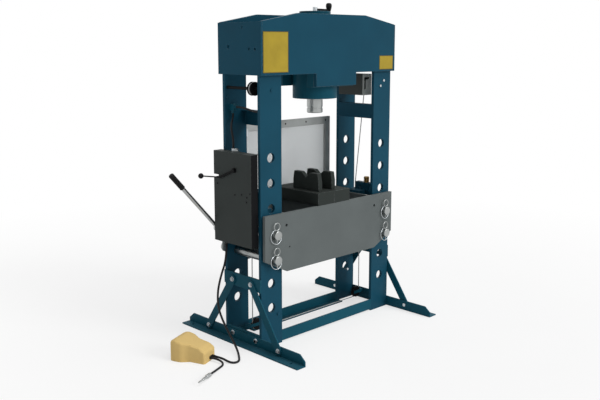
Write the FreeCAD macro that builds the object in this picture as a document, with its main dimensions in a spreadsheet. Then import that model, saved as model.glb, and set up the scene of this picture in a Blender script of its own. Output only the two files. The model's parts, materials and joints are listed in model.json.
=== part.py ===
import FreeCAD, Part
import math
import os
import Sketcher

# A floor-standing H-frame workshop press: four punched uprights, a plated head with a
# cylinder, a bed on four draw pins, a rope lift for the bed, a pump unit on the left
# and a foot pedal on two air hoses. Millimetres, +Z up, +X to the right, +Y to the rear.
# The origin lies on the floor in the middle of the four uprights.

os.makedirs("parts", exist_ok=True)

doc = FreeCAD.newDocument("Press")
sheet = doc.addObject("Spreadsheet::Sheet", "Sizes")

# ---------------------------------------------------------------------------- sizes
SIZES = {
    # uprights
    "postInner": 413,
    "postOuter": 580,
    "postFace": 164,
    "postThick": 20,
    "postInHead": 290,
    "pinHoleRadius": 28.5,
    "pinHoleFirst": 236,
    "pinHolePitch": 150,
    "pinHoleCount": 7,
    # head plates
    "headThick": 25,
    "headLow": 1610,
    "headSideTall": 301,
    "headTall": 352,
    "headTopHalf": 295,
    "headDeepDrop": 78,
    "endThick": 10,
    "endTall": 298,
    "endHoleRadius": 8,
    "endHoleLarge": 12,
    "endHoleTopY": -29,
    "endHoleTopUp": 269,
    "endHoleRearY": 95,
    "endHoleRearUp": 158,
    "endHoleMiddleY": -87,
    "endHoleMiddleUp": 148,
    "endHoleFrontY": -137,
    "endHoleFrontUp": 147,
    "webThick": 20,
    # cylinder and ram, on one upright axis
    "ramLine": 32,
    "deepHalf": 179,
    "blockDeep": 58,
    "blockDrop": 83,
    "blockTall": 113,
    "barrelRadius": 140,
    "barrelDrop": 160,
    "barrelTall": 450,
    "boreRadius": 110,
    "barrelRoof": 20,
    "glandTall": 40,
    "seatThick": 40,
    "seatHoleRadius": 60,
    "capRadius": 97.5,
    "capTall": 45,
    "ramRadius": 50,
    "ramOut": 93,
    "ramEdge": 4,
    "ramGrooveUp": 28,
    "ramGrooveTall": 9,
    "ramGrooveDeep": 3,
    "pistonTall": 60,
    "pistonTopGap": 20,
    "slideFit": 0.05,
    "runGap": 0.3,
    # crank on the cylinder cap
    "crankShaftRadius": 10,
    "crankShaftDeep": 40,
    "crankHubRadius": 14,
    "crankHubTall": 26,
    "crankReach": 125,
    "crankArmUp": 5,
    "crankArmThick": 12,
    "crankArmWide": 24,
    "crankArmTip": 14,
    "crankArmSeat": 12,
    "crankKnobRadius": 19,
    "crankKnobDrop": 10,
    "crankKnobTall": 65,
    "knobEdge": 4,
    # cross members between the front and rear uprights
    "upperTieTall": 93,
    "upperTieDrop": 214,
    "upperTieFlange": 40,
    "lowerTieLow": 345,
    "lowerTieHigh": 425,
    "sideThick": 8,
    "footTieLow": 10,
    "footTieHigh": 80,
    # base bars between the left and right uprights
    "frontBarLow": 10,
    "frontBarHigh": 78,
    "rearBarHigh": 66,
    "rearBarDeep": 50,
    # feet and braces
    "footFront": 531,
    "footRear": 526,
    "footHigh": 65,
    "footEndHigh": 31,
    "footChamfer": 42,
    "footWide": 60,
    "anchorOut": 30,
    "anchorAlong": 450,
    "anchorRadius": 9,
    "braceHalf": 25,
    "braceTopZ": 382,
    "braceFrontTopY": 86,
    "braceFrontLowY": 322,
    "braceFrontLowZ": 38,
    "braceRearTopY": 81,
    "braceRearLowY": 317,
    "braceRearLowZ": 34,
    # hexagon bolts of the frame
    "boltHead": 12,
    "boltHeadTall": 8,
    "boltRadius": 7,
    "boltGap": 0.4,
    "smallHead": 9,
    "smallHeadTall": 6,
    "boltTopLeftIn": 89,
    "boltTopLeftDrop": 86,
    "boltTopRightIn": 71,
    "boltTopRightDrop": 61,
    "boltInnerRightIn": 104,
    "boltInnerRightDrop": 95,
    "boltLowLeftIn": 132,
    "boltLowLeftZ": 188,
    "boltRearRightIn": 64,
    "boltRearRightZ": 207,
    "boltRearLeftIn": 20,
    "boltRearLeftDrop": 135,
    "tieBoltFrontY": 120,
    "tieBoltRearY": 89,
    "tieBoltZ": 42,
    # bed
    "bedFace": 196,
    "bedThick": 20,
    "bedPinMargin": 78.5,
    "bedRise": 118,
    "bedSideDrop": 1,
    "bedLowDrop": 88,
    "bedCornerWide": 175,
    "bedDrop": 1.4,
    "pinDrop": 0.7,
    "bedWebIn": 13,
    "bedWebMiddle": 110,
    "bedWebThick": 20,
    "bedWebUp": 22,
    "bedWebDrop": 8,
    "bedHoleRadius": 9,
    "bedHoleSmall": 5,
    "bedHoleLeftX": -404,
    "bedHoleLeftZ": 730,
    "bedHoleRightX": 396,
    "bedHoleRightZ": 733,
    "bedHoleSmallX": -379,
    "bedHoleSmallZ": 595,
    # draw pins and their clips
    "pinRadius": 27.5,
    "pinFront": 229,
    "pinRear": 276,
    "pinEdge": 3,
    "clipWire": 2.5,
    "clipRing": 22,
    "clipBack": 16,
    "clipTail": 44,
    # bars and V-blocks on the bed
    "barLeft": 135,
    "barSplit": 8,
    "barRight": 151,
    "barTall": 78,
    "veeFirstX": 95,
    "veeSecondX": 23,
    "veeThick": 32,
    "veeFront": 159,
    "veeRear": 66,
    "veeTopIn": 10,
    "veeTall": 112,
    "veeMiddle": 46,
    "veeHalf": 40,
    "veeDeep": 33,
    "veeEndHigh": 60,
    # lifting yokes at the bed ends
    "yokeFront": 100,
    "yokeRear": 30,
    "yokeWide": 38,
    "yokeIn": 49,
    "yokeArmEnd": 48,
    "yokeDrop": 24,
    "yokeTall": 81,
    "yokeGap": 4,
    "yokeLeftWide": 61,
    "yokeLeftRear": 49,
    "yokeLeftTall": 156,
    "yokeArmHalf": 64,
    "yokeArmTall": 32,
    # rope lift
    "ropeRadius": 3,
    "drumIn": 20,
    "drumY": 90,
    "drumDrop": 77,
    "drumTurn": 35,
    "drumFlange": 40,
    "drumHalf": 14,
    "drumFlangeThick": 4,
    "drumShaft": 9,
    "pulleyY": 58,
    "ropeLeftOut": 42,
    "ropeRightIn": 39,
    "pulleyZ": 63,
    "pulleyTurn": 33,
    "pulleyRadius": 37,
    "pulleyHalf": 9,
    "pulleyPin": 6,
    "cheekThick": 4,
    "cheekPast": 28,
    "cheekDeep": 20,
    "cheekLow": 53,
    "cheekHigh": 73,
    "reelOut": 62,
    "reelY": 24,
    "reelDrop": 95,
    "reelTurn": 57,
    "reelHalf": 12,
    "reelShaft": 9,
    "reelRopeY": 41,
    "reelRopeRise": 40,
    "reelRopeBend": 200,
    "caseWide": 91,
    "caseFront": 67,
    "caseTall": 139,
    "caseDrop": 20,
    "caseWall": 8,
    "slotIn": 19,
    "slotLong": 46,
    "slotWide": 12,
    "slotDrop": 22,
    "slotTall": 78,
    "adjusterY": 54,
    "adjusterRadius": 19,
    "adjusterRib": 15.5,
    "adjusterTall": 39,
    "adjusterRibs": 4,
    "yokeBoltY": 9,
    "yokeBoltUp": 38,
    # guard behind the rear uprights
    "guardLeftOver": 17,
    "guardRightOver": 2,
    "guardLow": 822,
    "guardTall": 475,
    "guardFace": 226,
    "guardThick": 20,
    "guardRail": 50,
    "paneThick": 5,
    "paneLap": 12,
    "paneFace": 233,
    "guardLugIn": 25,
    "guardLugOut": 30,
    "guardLugUp": 78,
    "guardLugPitch": 325,
    "guardLugTall": 45,
    # pump unit on the left
    "coverDeep": 60,
    "coverFrontDeep": 50,
    "coverRearDeep": 62,
    "coverFront": 152,
    "coverRear": 184,
    "coverLow": 618,
    "coverTall": 545,
    "coverWall": 3,
    "coverNotchUp": 386,
    "coverNotchTall": 17,
    "coverNotchLong": 60,
    "bodyDeep": 92,
    "bodyFront": 100,
    "bodyUp": 32,
    "bodyTopDrop": 43,
    "coverScrew": 5,
    "coverScrewTall": 3,
    "screwRearY": 150,
    "screwRearUp": 350,
    "screwMiddleY": -9,
    "screwMiddleUp": 300,
    "screwNearY": -68,
    "screwNearUp": 309,
    "screwFrontY": -114,
    "screwFrontUp": 297,
    "screwLowY": -111,
    "screwLowUp": 269,
    "screwEdgeY": -142,
    "screwEdgeUp": 322,
    # pump lever
    "leverPivotIn": 40,
    "leverPivotOut": 20,
    "leverPivotUp": 61,
    "leverPin": 12,
    "leverSocket": 20,
    "leverSocketHalf": 14,
    "leverDisc": 4,
    "leverTube": 12.5,
    "leverLong": 498,
    "leverAngle": 42.8,
    "gripRadius": 16.5,
    "gripLong": 120,
    "gripEnd": 4,
    # valve lever
    "valveY": 9,
    "valveUp": 444,
    "valvePin": 6,
    "valveHub": 14,
    "valveGap": 2,
    "valveThick": 8,
    "valveHead": 10,
    "valveHeadTall": 4,
    "valveArmY": 116,
    "valveArmDrop": 54,
    "valveArmHalf": 7,
    "valveRod": 4,
    "valveBall": 16.5,
    "valveBallX": 700,
    "valveBallY": 233,
    # oil fittings and hoses
    "manifoldIn": 33,
    "manifoldWide": 40,
    "manifoldFront": 104,
    "manifoldTall": 38,
    "fittingRadius": 11,
    "fittingLong": 16,
    "oilHoseRadius": 6,
    "oilHoseUp": 22,
    "oilHoseDrop": 22,
    "oilHoseIn": 52,
    "oilHoseY": 62,
    "oilHoseBow": 6,
    "oilHoseLean": 14,
    "oilHoseUpper": 112,
    "oilHoseLower": 186,
    "gaugeLineRadius": 6,
    "gaugeLineIn": 43,
    "gaugeLineUp": 4,
    "gaugeLineRun": 58,
    "gaugeEndRadius": 10,
    # plates on the head front
    "labelThick": 1.5,
    "labelIn": 4,
    "labelWide": 195,
    "labelUp": 14,
    "labelTall": 231,
    "smallLabelWide": 136,
    "smallLabelIn": 10,
    "smallLabelUp": 12,
    "smallLabelTall": 89,
    # foot pedal, in its own axes, then turned and set on the floor
    "pedalX": 903.5,
    "pedalY": 83.5,
    "pedalTurn": 22.5,
    "pedalHalf": 63,
    "pedalWaist": 59,
    "pedalWaistY": 96,
    "pedalFlare": 86,
    "pedalFlareY": 144,
    "pedalRearHalf": 80,
    "pedalBaseFit": 0.3,
    "pedalLong": 210,
    "pedalBase": 8,
    "pedalEndHigh": 66,
    "pedalKneeY": 34,
    "pedalKneeHigh": 88,
    "pedalPeakY": 188,
    "pedalPeakHigh": 125,
    "pedalMouthHigh": 116,
    "pedalMouthPast": 1,
    "pedalWall": 4,
    "pedalPortX": 13,
    "pedalPortZ": 20,
    "pedalPortRadius": 9.5,
    "portRunPedal": 55,
    "portRunSupply": 52,
    "valveBoxHalf": 27,
    "valveBoxStart": 20,
    "valveBoxEnd": 62,
    "valveBoxHigh": 40,
    "treadlePinY": 84,
    "treadlePinZ": 38,
    "treadlePin": 4,
    "treadleHub": 8,
    "treadleHalf": 44,
    "treadleThick": 6,
    "treadleEnd": 196,
    "treadleRise": 26,
    "treadleEarHalf": 52,
    "treadleEarThick": 6,
    # air hoses and the nipple on the second one
    "airHoseRadius": 6.5,
    "supplyHoseRadius": 6,
    "airFittingIn": 34,
    "airFittingY": 118,
    "airHoseDrop": 95,
    "airFittingDrop": 50,
    "nippleLong": 132,
    "nippleCollar": 12,
    "nippleCollarLong": 42,
    "nippleNeck": 8,
    "nippleTip": 5,
    "nippleTipLong": 46,
    "nippleTaper": 4,
}

for row, (word, number) in enumerate(SIZES.items(), start=1):
    sheet.set("A%d" % row, word)
    sheet.set("B%d" % row, str(number))
    sheet.setAlias("B%d" % row, word)
doc.recompute()


class Term:
    """A length together with the sheet expression that it stands for."""

    def __init__(self, value, text):
        self.value = float(value)
        self.text = text

    def __add__(self, other):
        other = term(other)
        return Term(self.value + other.value, "(%s + %s)" % (self.text, other.text))

    def __sub__(self, other):
        other = term(other)
        return Term(self.value - other.value, "(%s - %s)" % (self.text, other.text))

    def __mul__(self, other):
        other = term(other)
        return Term(self.value * other.value, "(%s * %s)" % (self.text, other.text))

    def __truediv__(self, other):
        other = term(other)
        return Term(self.value / other.value, "(%s / %s)" % (self.text, other.text))

    def __radd__(self, other):
        return term(other) + self

    def __rsub__(self, other):
        return term(other) - self

    def __rmul__(self, other):
        return term(other) * self

    def __neg__(self):
        return Term(-self.value, "(-1 * %s)" % self.text)


def term(number):
    """Give a plain number the same form as a named size."""
    if isinstance(number, Term):
        return number
    return Term(number, repr(float(number)))


class Named:
    """Reads the sizes of the sheet by their names."""

    def __getattr__(self, word):
        return Term(SIZES[word], "Sizes." + word)


s = Named()
ZERO = term(0)

# ---------------------------------------------------------------------------- places that follow
# each place is one named size away from the piece that carries it
level_low = s.pinHoleFirst + 2 * s.pinHolePitch
level_high = level_low + s.pinHolePitch
post_top = s.headLow + s.postInHead
head_deep_low = s.headLow - s.headDeepDrop
head_shoulder = s.headLow + s.headSideTall
head_top = s.headLow + s.headTall
end_top = s.headLow + s.endTall
end_hole_top_z = s.headLow + s.endHoleTopUp
end_hole_rear_z = s.headLow + s.endHoleRearUp
end_hole_middle_z = s.headLow + s.endHoleMiddleUp
end_hole_front_z = s.headLow + s.endHoleFrontUp
label_low = s.headLow + s.labelUp
label_high = label_low + s.labelTall
small_label_low = s.headLow + s.smallLabelUp
small_label_high = small_label_low + s.smallLabelTall
block_low = s.headLow - s.blockDrop
block_high = block_low + s.blockTall
barrel_low = s.headLow - s.barrelDrop
barrel_high = barrel_low + s.barrelTall
bore_top = barrel_high - s.barrelRoof
gland_high = barrel_low + s.glandTall
seat_high = barrel_high + s.seatThick
cap_high = seat_high + s.capTall
ram_low = barrel_low - s.ramOut
ram_groove_low = ram_low + s.ramGrooveUp
crank_hub_high = cap_high + s.crankHubTall
crank_arm_low = cap_high + s.crankArmUp
crank_knob_low = cap_high - s.crankKnobDrop
crank_knob_high = crank_knob_low + s.crankKnobTall
upper_tie_high = s.headLow - s.upperTieDrop
upper_tie_low = upper_tie_high - s.upperTieTall
manifold_high = upper_tie_high + s.manifoldTall
oil_hose_z = upper_tie_high + s.oilHoseUp
gauge_line_low = upper_tie_high + s.gaugeLineUp
bolt_top_left_z = s.headLow - s.boltTopLeftDrop
bolt_top_right_z = s.headLow - s.boltTopRightDrop
bolt_inner_right_z = s.headLow - s.boltInnerRightDrop
bolt_rear_left_z = s.headLow - s.boltRearLeftDrop
drum_z = s.headLow - s.drumDrop
reel_z = s.headLow - s.reelDrop
case_high = s.headLow - s.caseDrop
case_low = case_high - s.caseTall
slot_top = case_high - s.slotDrop
slot_low = slot_top - s.slotTall
bed_high = level_high + s.bedRise
bed_side_low = level_low - s.bedSideDrop
bed_low = level_low - s.bedLowDrop
bed_web_low = bed_low + s.bedWebUp
bed_web_high = bed_high - s.bedWebDrop
bar_high = bed_high + s.barTall
vee_high = bar_high + s.veeTall
yoke_low = bed_high - s.yokeDrop
yoke_high = yoke_low + s.yokeTall
yoke_left_high = yoke_low + s.yokeLeftTall
yoke_arm_high = yoke_low + s.yokeArmTall
yoke_bolt_z = yoke_low + s.yokeBoltUp
cover_face = s.postOuter + s.coverDeep
cover_inner = cover_face - s.coverFrontDeep
cover_rear_inner = cover_face - s.coverRearDeep
cover_high = s.coverLow + s.coverTall
cover_notch_low = s.coverLow + s.coverNotchUp
cover_notch_high = cover_notch_low + s.coverNotchTall
body_inner = cover_face - s.coverWall - s.bodyDeep
body_low = s.coverLow + s.bodyUp
body_high = cover_high - s.bodyTopDrop
yoke_left_outer = body_inner - s.yokeGap
screw_rear_z = s.coverLow + s.screwRearUp
screw_middle_z = s.coverLow + s.screwMiddleUp
screw_near_z = s.coverLow + s.screwNearUp
screw_front_z = s.coverLow + s.screwFrontUp
screw_low_z = s.coverLow + s.screwLowUp
screw_edge_z = s.coverLow + s.screwEdgeUp
lever_pivot_x = cover_face - s.leverPivotIn
lever_pivot_z = s.coverLow + s.leverPivotUp
lever_pivot_y = s.coverRear + s.leverPivotOut
valve_near = cover_face + s.valveGap
valve_z = s.coverLow + s.valveUp
valve_arm_z = valve_z - s.valveArmDrop
guard_high = s.guardLow + s.guardTall
guard_lug_low = s.guardLow + s.guardLugUp
guard_lug_high = guard_lug_low + s.guardLugPitch
pin_line = (s.postInner + s.postOuter) / 2
bed_half = pin_line + s.bedPinMargin
bed_low_half = bed_half - s.bedCornerWide
anchor_line = s.postOuter + s.sideThick + s.anchorOut
bolt_top_left_x = s.boltTopLeftIn - s.postOuter
bolt_top_right_x = s.postOuter - s.boltTopRightIn
bolt_inner_right_x = s.postOuter - s.boltInnerRightIn
bolt_low_left_x = s.boltLowLeftIn - s.postOuter
bolt_rear_right_x = s.postOuter - s.boltRearRightIn
bolt_rear_left_x = s.boltRearLeftIn - s.postOuter
yoke_inner = s.postInner + s.yokeIn
yoke_outer = yoke_inner + s.yokeWide
yoke_arm_outer = yoke_outer + s.yokeArmEnd
yoke_left_inner = yoke_left_outer - s.yokeLeftWide
drum_x = s.postOuter - s.drumIn
rope_left_x = s.postInner + s.ropeLeftOut
rope_right_x = s.postOuter - s.ropeRightIn
cheek_foot = s.postOuter - s.sideThick - s.cheekDeep
reel_x = s.postInner + s.reelOut
case_outer_x = s.postInner + s.caseWide
slot_left = s.postInner + s.slotIn
slot_right = slot_left + s.slotLong
guard_left = s.postInner + s.guardLeftOver
guard_right = s.postInner + s.guardRightOver
bed_web_outer = s.postInner - s.bedWebIn
air_fitting_x = cover_face - s.airFittingIn
air_fitting_low = body_low - s.airFittingDrop
manifold_outer = s.postOuter - s.manifoldIn
manifold_inner = manifold_outer - s.manifoldWide
gauge_line_x = s.postOuter - s.gaugeLineIn
oil_hose_top_x = manifold_outer - s.fittingRadius
oil_hose_down_x = cover_face - s.oilHoseIn
label_left = s.postOuter - s.labelIn
label_right = label_left - s.labelWide
small_label_right = s.postOuter - s.smallLabelIn
small_label_left = small_label_right - s.smallLabelWide
adjuster_x = (yoke_inner + yoke_outer) / 2


def low_high(first, second):
    """Two ends of a span, the lower one first."""
    first = term(first)
    second = term(second)
    if first.value <= second.value:
        return first, second
    return second, first


# ---------------------------------------------------------------------------- builders
def place(item, x, y, z):
    """Bind the three coordinates of an object's placement."""
    item.setExpression("Placement.Base.x", term(x).text)
    item.setExpression("Placement.Base.y", term(y).text)
    item.setExpression("Placement.Base.z", term(z).text)
    return item


def box(name, x, y, z):
    """A box between three pairs of limits."""
    item = doc.addObject("Part::Box", name)
    spans = [low_high(*pair) for pair in (x, y, z)]
    for field, (low, high) in zip(("Length", "Width", "Height"), spans):
        item.setExpression(field, (high - low).text)
    return place(item, spans[0][0], spans[1][0], spans[2][0])


TURNS = {
    "X": FreeCAD.Rotation(FreeCAD.Vector(0, 1, 0), 90),
    "Y": FreeCAD.Rotation(FreeCAD.Vector(1, 0, 0), -90),
    "Z": FreeCAD.Rotation(),
}


def along(axis, low, across):
    """The start point of a piece that runs along an axis, from its two other coordinates."""
    first, second = across
    if axis == "X":
        return low, first, second
    if axis == "Y":
        return first, low, second
    return first, second, low


def rod(name, axis, across, radius, first, second):
    """A round bar along an axis between two limits."""
    low, high = low_high(first, second)
    item = doc.addObject("Part::Cylinder", name)
    item.Placement = FreeCAD.Placement(FreeCAD.Vector(), TURNS[axis])
    item.setExpression("Radius", term(radius).text)
    item.setExpression("Height", (high - low).text)
    return place(item, *along(axis, low, across))


def hexagon(name, axis, across, radius, first, second):
    """A hexagon bar along an axis between two limits."""
    low, high = low_high(first, second)
    item = doc.addObject("Part::Prism", name)
    item.Polygon = 6
    item.Placement = FreeCAD.Placement(FreeCAD.Vector(), TURNS[axis])
    item.setExpression("Circumradius", term(radius).text)
    item.setExpression("Height", (high - low).text)
    return place(item, *along(axis, low, across))


def ball(name, radius, x, y, z):
    """A whole sphere."""
    item = doc.addObject("Part::Sphere", name)
    item.setExpression("Radius", term(radius).text)
    return place(item, x, y, z)


def ring(name, axis, across, ring_radius, wire_radius, at):
    """A round ring whose axis runs along the given one."""
    item = doc.addObject("Part::Torus", name)
    item.Placement = FreeCAD.Placement(FreeCAD.Vector(), TURNS[axis])
    item.setExpression("Radius1", term(ring_radius).text)
    item.setExpression("Radius2", term(wire_radius).text)
    return place(item, *along(axis, term(at), across))


def fuse(name, parts):
    """One solid from several that touch or overlap."""
    item = doc.addObject("Part::MultiFuse", name)
    item.Shapes = parts
    item.Refine = True
    return item


def cut(name, base, tools):
    """A base less one or more tools."""
    item = doc.addObject("Part::Cut", name)
    item.Base = base
    item.Tool = tools[0] if len(tools) == 1 else fuse(name + "_tools", tools)
    item.Refine = True
    return item


def common(name, parts):
    """The form that several solids share."""
    item = doc.addObject("Part::MultiCommon", name)
    item.Shapes = parts
    item.Refine = True
    return item


def group(name, parts):
    """Several separate solids kept as one part."""
    item = doc.addObject("Part::Compound", name)
    item.Links = parts
    return item


def pin_coordinate(sketch, kind, axis_line, index, at, value):
    """Hold one coordinate of a sketch point at a named size."""
    if abs(value.value) < 1e-9:
        sketch.addConstraint(Sketcher.Constraint("PointOnObject", index, at, axis_line))
        return
    number = sketch.addConstraint(Sketcher.Constraint(kind, -1, 1, index, at, value.value))
    sketch.setExpression("Constraints[%d]" % number, value.text)


def outline(sketch, points):
    """A closed outline of straight lines, every corner held by the sheet."""
    points = [(term(u), term(v)) for u, v in points]
    start = sketch.GeometryCount
    count = len(points)
    for index in range(count):
        u, v = points[index]
        u_next, v_next = points[(index + 1) % count]
        begin = FreeCAD.Vector(u.value, v.value, 0)
        end = FreeCAD.Vector(u_next.value, v_next.value, 0)
        sketch.addGeometry(Part.LineSegment(begin, end), False)
    for index in range(count):
        after = start + (index + 1) % count
        sketch.addConstraint(Sketcher.Constraint("Coincident", start + index, 2, after, 1))
    for index, (u, v) in enumerate(points):
        pin_coordinate(sketch, "DistanceX", -2, start + index, 1, u)
        pin_coordinate(sketch, "DistanceY", -1, start + index, 1, v)


def circle(sketch, u, v, radius):
    """A circle whose centre and radius are held by the sheet."""
    u, v, radius = term(u), term(v), term(radius)
    centre = FreeCAD.Vector(u.value, v.value, 0)
    index = sketch.addGeometry(Part.Circle(centre, FreeCAD.Vector(0, 0, 1), radius.value), False)
    pin_coordinate(sketch, "DistanceX", -2, index, 3, u)
    pin_coordinate(sketch, "DistanceY", -1, index, 3, v)
    number = sketch.addConstraint(Sketcher.Constraint("Radius", index, radius.value))
    sketch.setExpression("Constraints[%d]" % number, radius.text)


def sketch_on(body, name, plane, lift):
    """A sketch on one of the body's own origin planes, lifted along the plane's normal."""
    sketch = body.newObject("Sketcher::SketchObject", name)
    role = plane + "_Plane"
    base = [item for item in body.Origin.OriginFeatures if item.Role == role][0]
    sketch.AttachmentSupport = [(base, "")]
    sketch.MapMode = "FlatFace"
    if lift is not None:
        sketch.setExpression("AttachmentOffset.Base.z", lift.text)
    return sketch


def plate(name, plane, points, first, second, holes=()):
    """A padded outline between two limits across its plane, with round holes."""
    low, high = low_high(first, second)
    body = doc.addObject("PartDesign::Body", name)
    lift = -high if plane == "XZ" else low
    sketch = sketch_on(body, name + "_outline", plane, lift)
    outline(sketch, points)
    for u, v, radius in holes:
        circle(sketch, u, v, radius)
    pad = body.newObject("PartDesign::Pad", name + "_pad")
    pad.Profile = sketch
    pad.setExpression("Length", (high - low).text)
    sketch.Visibility = False
    return body


def turned(name, points, x=0, y=0, z=0, rotation=None):
    """A turned part: a half profile of radius and height, revolved about its upright axis."""
    body = doc.addObject("PartDesign::Body", name)
    sketch = sketch_on(body, name + "_profile", "XZ", None)
    outline(sketch, points)
    turn = body.newObject("PartDesign::Revolution", name + "_turn")
    turn.Profile = sketch
    turn.ReferenceAxis = (sketch, ["V_Axis"])
    turn.Angle = 360
    sketch.Visibility = False
    if rotation is not None:
        body.Placement = FreeCAD.Placement(FreeCAD.Vector(), rotation)
    place(body, x, y, z)
    return body


def vector(x, y, z):
    """A point from three sizes."""
    return FreeCAD.Vector(term(x).value, term(y).value, term(z).value)


# a bend uses this share of the shorter of its two straight runs
BEND_SHARE = 0.45
radii_notes = []


def tube(name, points, radius, corner_radii=None):
    """A round tube along straight runs joined by tangent arcs."""
    points = [vector(*point) for point in points]
    size = term(radius).value
    count = len(points)
    runs = [(points[index + 1] - points[index]).Length for index in range(count - 1)]
    edges = []
    used = []
    here = points[0]
    for index in range(1, count - 1):
        back = (points[index - 1] - points[index]).normalize()
        ahead = (points[index + 1] - points[index]).normalize()
        half_turn = (math.pi - back.getAngle(ahead)) / 2
        if corner_radii is None:
            bend = BEND_SHARE * min(runs[index - 1], runs[index]) / math.tan(half_turn)
        else:
            bend = term(corner_radii[index - 1]).value
        reach = bend * math.tan(half_turn)
        start = points[index] + back * reach
        end = points[index] + ahead * reach
        middle_way = (back + ahead).normalize()
        middle = points[index] + middle_way * (bend / math.cos(half_turn) - bend)
        if (start - here).Length > 1e-6:
            edges.append(Part.LineSegment(here, start).toShape())
        edges.append(Part.Arc(start, middle, end).toShape())
        here = end
        used.append(round(bend, 1))
    if (points[-1] - here).Length > 1e-6:
        edges.append(Part.LineSegment(here, points[-1]).toShape())
    path = Part.Wire(edges)
    heading = points[1] - points[0]
    section = Part.Wire(Part.makeCircle(size, points[0], heading))
    item = doc.addObject("Part::Feature", name)
    item.Shape = Part.Wire(edges).makePipeShell([section], True, False)
    expected = math.pi * size * size * path.Length
    radii_notes.append("%s: length %.1f, bend radii %s, volume/expected %.4f"
                       % (name, path.Length, used, item.Shape.Volume / expected))
    return item


def mirrored(maker, name):
    """Make the left and right copies of something that takes a side sign."""
    return [maker(name + "_left", -1), maker(name + "_right", 1)]


nodes = []


def node(item, name=None):
    """Mark a finished object for export under its node name."""
    item.Label = name or item.Name
    nodes.append(item)
    return item


# ---------------------------------------------------------------------------- frame
def upright(name, side, end):
    """One upright: a flat bar with a row of pin holes. side -1 left, end -1 front."""
    body = doc.addObject("PartDesign::Body", name)
    far = s.postFace if end > 0 else -(s.postFace - s.postThick)
    sketch = sketch_on(body, name + "_outline", "XZ", -far)
    low, high = low_high(side * s.postInner, side * s.postOuter)
    outline(sketch, [(low, ZERO), (high, ZERO), (high, post_top), (low, post_top)])
    pad = body.newObject("PartDesign::Pad", name + "_pad")
    pad.Profile = sketch
    pad.setExpression("Length", s.postThick.text)
    hole_sketch = sketch_on(body, name + "_hole", "XZ", -far)
    circle(hole_sketch, side * pin_line, s.pinHoleFirst, s.pinHoleRadius)
    pocket = body.newObject("PartDesign::Pocket", name + "_pocket")
    pocket.Profile = hole_sketch
    pocket.Type = "ThroughAll"
    pocket.Midplane = True
    row = body.newObject("PartDesign::LinearPattern", name + "_row")
    row.Originals = [pocket]
    row.Direction = (hole_sketch, ["V_Axis"])
    row.Occurrences = int(SIZES["pinHoleCount"])
    row.setExpression("Length", (s.pinHolePitch * (s.pinHoleCount - 1)).text)
    body.Tip = row
    doc.recompute()
    return body


for side, side_word in ((-1, "left"), (1, "right")):
    for end, end_word in ((-1, "front"), (1, "rear")):
        node(upright("upright_%s_%s" % (end_word, side_word), side, end))


def head_plate(name, first, second):
    """A head plate: wide shoulders, a raised top and a deep middle under the cylinder."""
    deep_left = s.ramLine - s.deepHalf
    deep_right = s.ramLine + s.deepHalf
    points = [
        (-s.postOuter, s.headLow),
        (deep_left, s.headLow),
        (deep_left, head_deep_low),
        (deep_right, head_deep_low),
        (deep_right, s.headLow),
        (s.postOuter, s.headLow),
        (s.postOuter, head_shoulder),
        (s.headTopHalf, head_top),
        (-s.headTopHalf, head_top),
        (-s.postOuter, head_shoulder),
    ]
    return plate(name, "XZ", points, first, second)


head_face = s.postFace + s.headThick
node(head_plate("head_front_plate", -head_face, -s.postFace))
node(head_plate("head_rear_plate", s.postFace, head_face))

# end plates close the head at the left and right; the left one is drilled
end_points = [(-head_face, s.headLow), (head_face, s.headLow), (head_face, end_top), (-head_face, end_top)]
end_holes = [
    (s.endHoleTopY, end_hole_top_z, s.endHoleRadius),
    (s.endHoleRearY, end_hole_rear_z, s.endHoleLarge),
    (s.endHoleMiddleY, end_hole_middle_z, s.endHoleRadius),
    (s.endHoleFrontY, end_hole_front_z, s.endHoleRadius),
]
end_left = plate("end_plate_left", "YZ", end_points, -s.postOuter, -s.postOuter - s.endThick, end_holes)
end_right = plate("end_plate_right", "YZ", end_points, s.postOuter, s.postOuter + s.endThick)
node(group("head_end_plates", [end_left, end_right]))

# inner webs, the seat plate over the cylinder and the bored blocks at its sides
deep_left = s.ramLine - s.deepHalf
deep_right = s.ramLine + s.deepHalf
inner_face = s.postFace
web_left = box("web_left", (deep_left - s.webThick, deep_left), (-inner_face, inner_face),
               (s.headLow, seat_high))
web_right = box("web_right", (deep_right, deep_right + s.webThick), (-inner_face, inner_face),
                (s.headLow, seat_high))
seat_blank = box("seat_blank", (deep_left, deep_right), (-inner_face, inner_face), (barrel_high, seat_high))
seat_hole = rod("seat_hole", "Z", (s.ramLine, ZERO), s.seatHoleRadius, barrel_high, seat_high)
node(fuse("head_webs", [web_left, web_right, cut("seat_plate", seat_blank, [seat_hole])]))


def bearing_block(name, end):
    """A block inside a head plate, bored to hold the cylinder."""
    blank = box(name + "_blank", (deep_left, deep_right),
                (end * s.postFace, end * (s.postFace - s.blockDeep)), (block_low, block_high))
    bore = rod(name + "_bore", "Z", (s.ramLine, ZERO), s.barrelRadius, block_low, block_high)
    return cut(name, blank, [bore])


node(group("bearing_blocks", [bearing_block("block_front", -1), bearing_block("block_rear", 1)]))


def upper_tie(name, side):
    """An angle iron between the front and rear uprights, along their inner edges."""
    span = s.postFace - s.postThick
    web = box(name + "_web", (side * s.postInner, side * (s.postInner + s.sideThick)), (-span, span),
              (upper_tie_low, upper_tie_high))
    flange = box(name + "_flange", (side * s.postInner, side * (s.postInner + s.upperTieFlange)),
                 (-span, span), (upper_tie_high - s.sideThick, upper_tie_high))
    return fuse(name, [web, flange])


node(group("upper_cross_members", mirrored(upper_tie, "upper_tie")))

side_out = s.postOuter + s.sideThick
brace_out = side_out + s.sideThick
bolt_hole = s.boltRadius + s.boltGap


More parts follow.
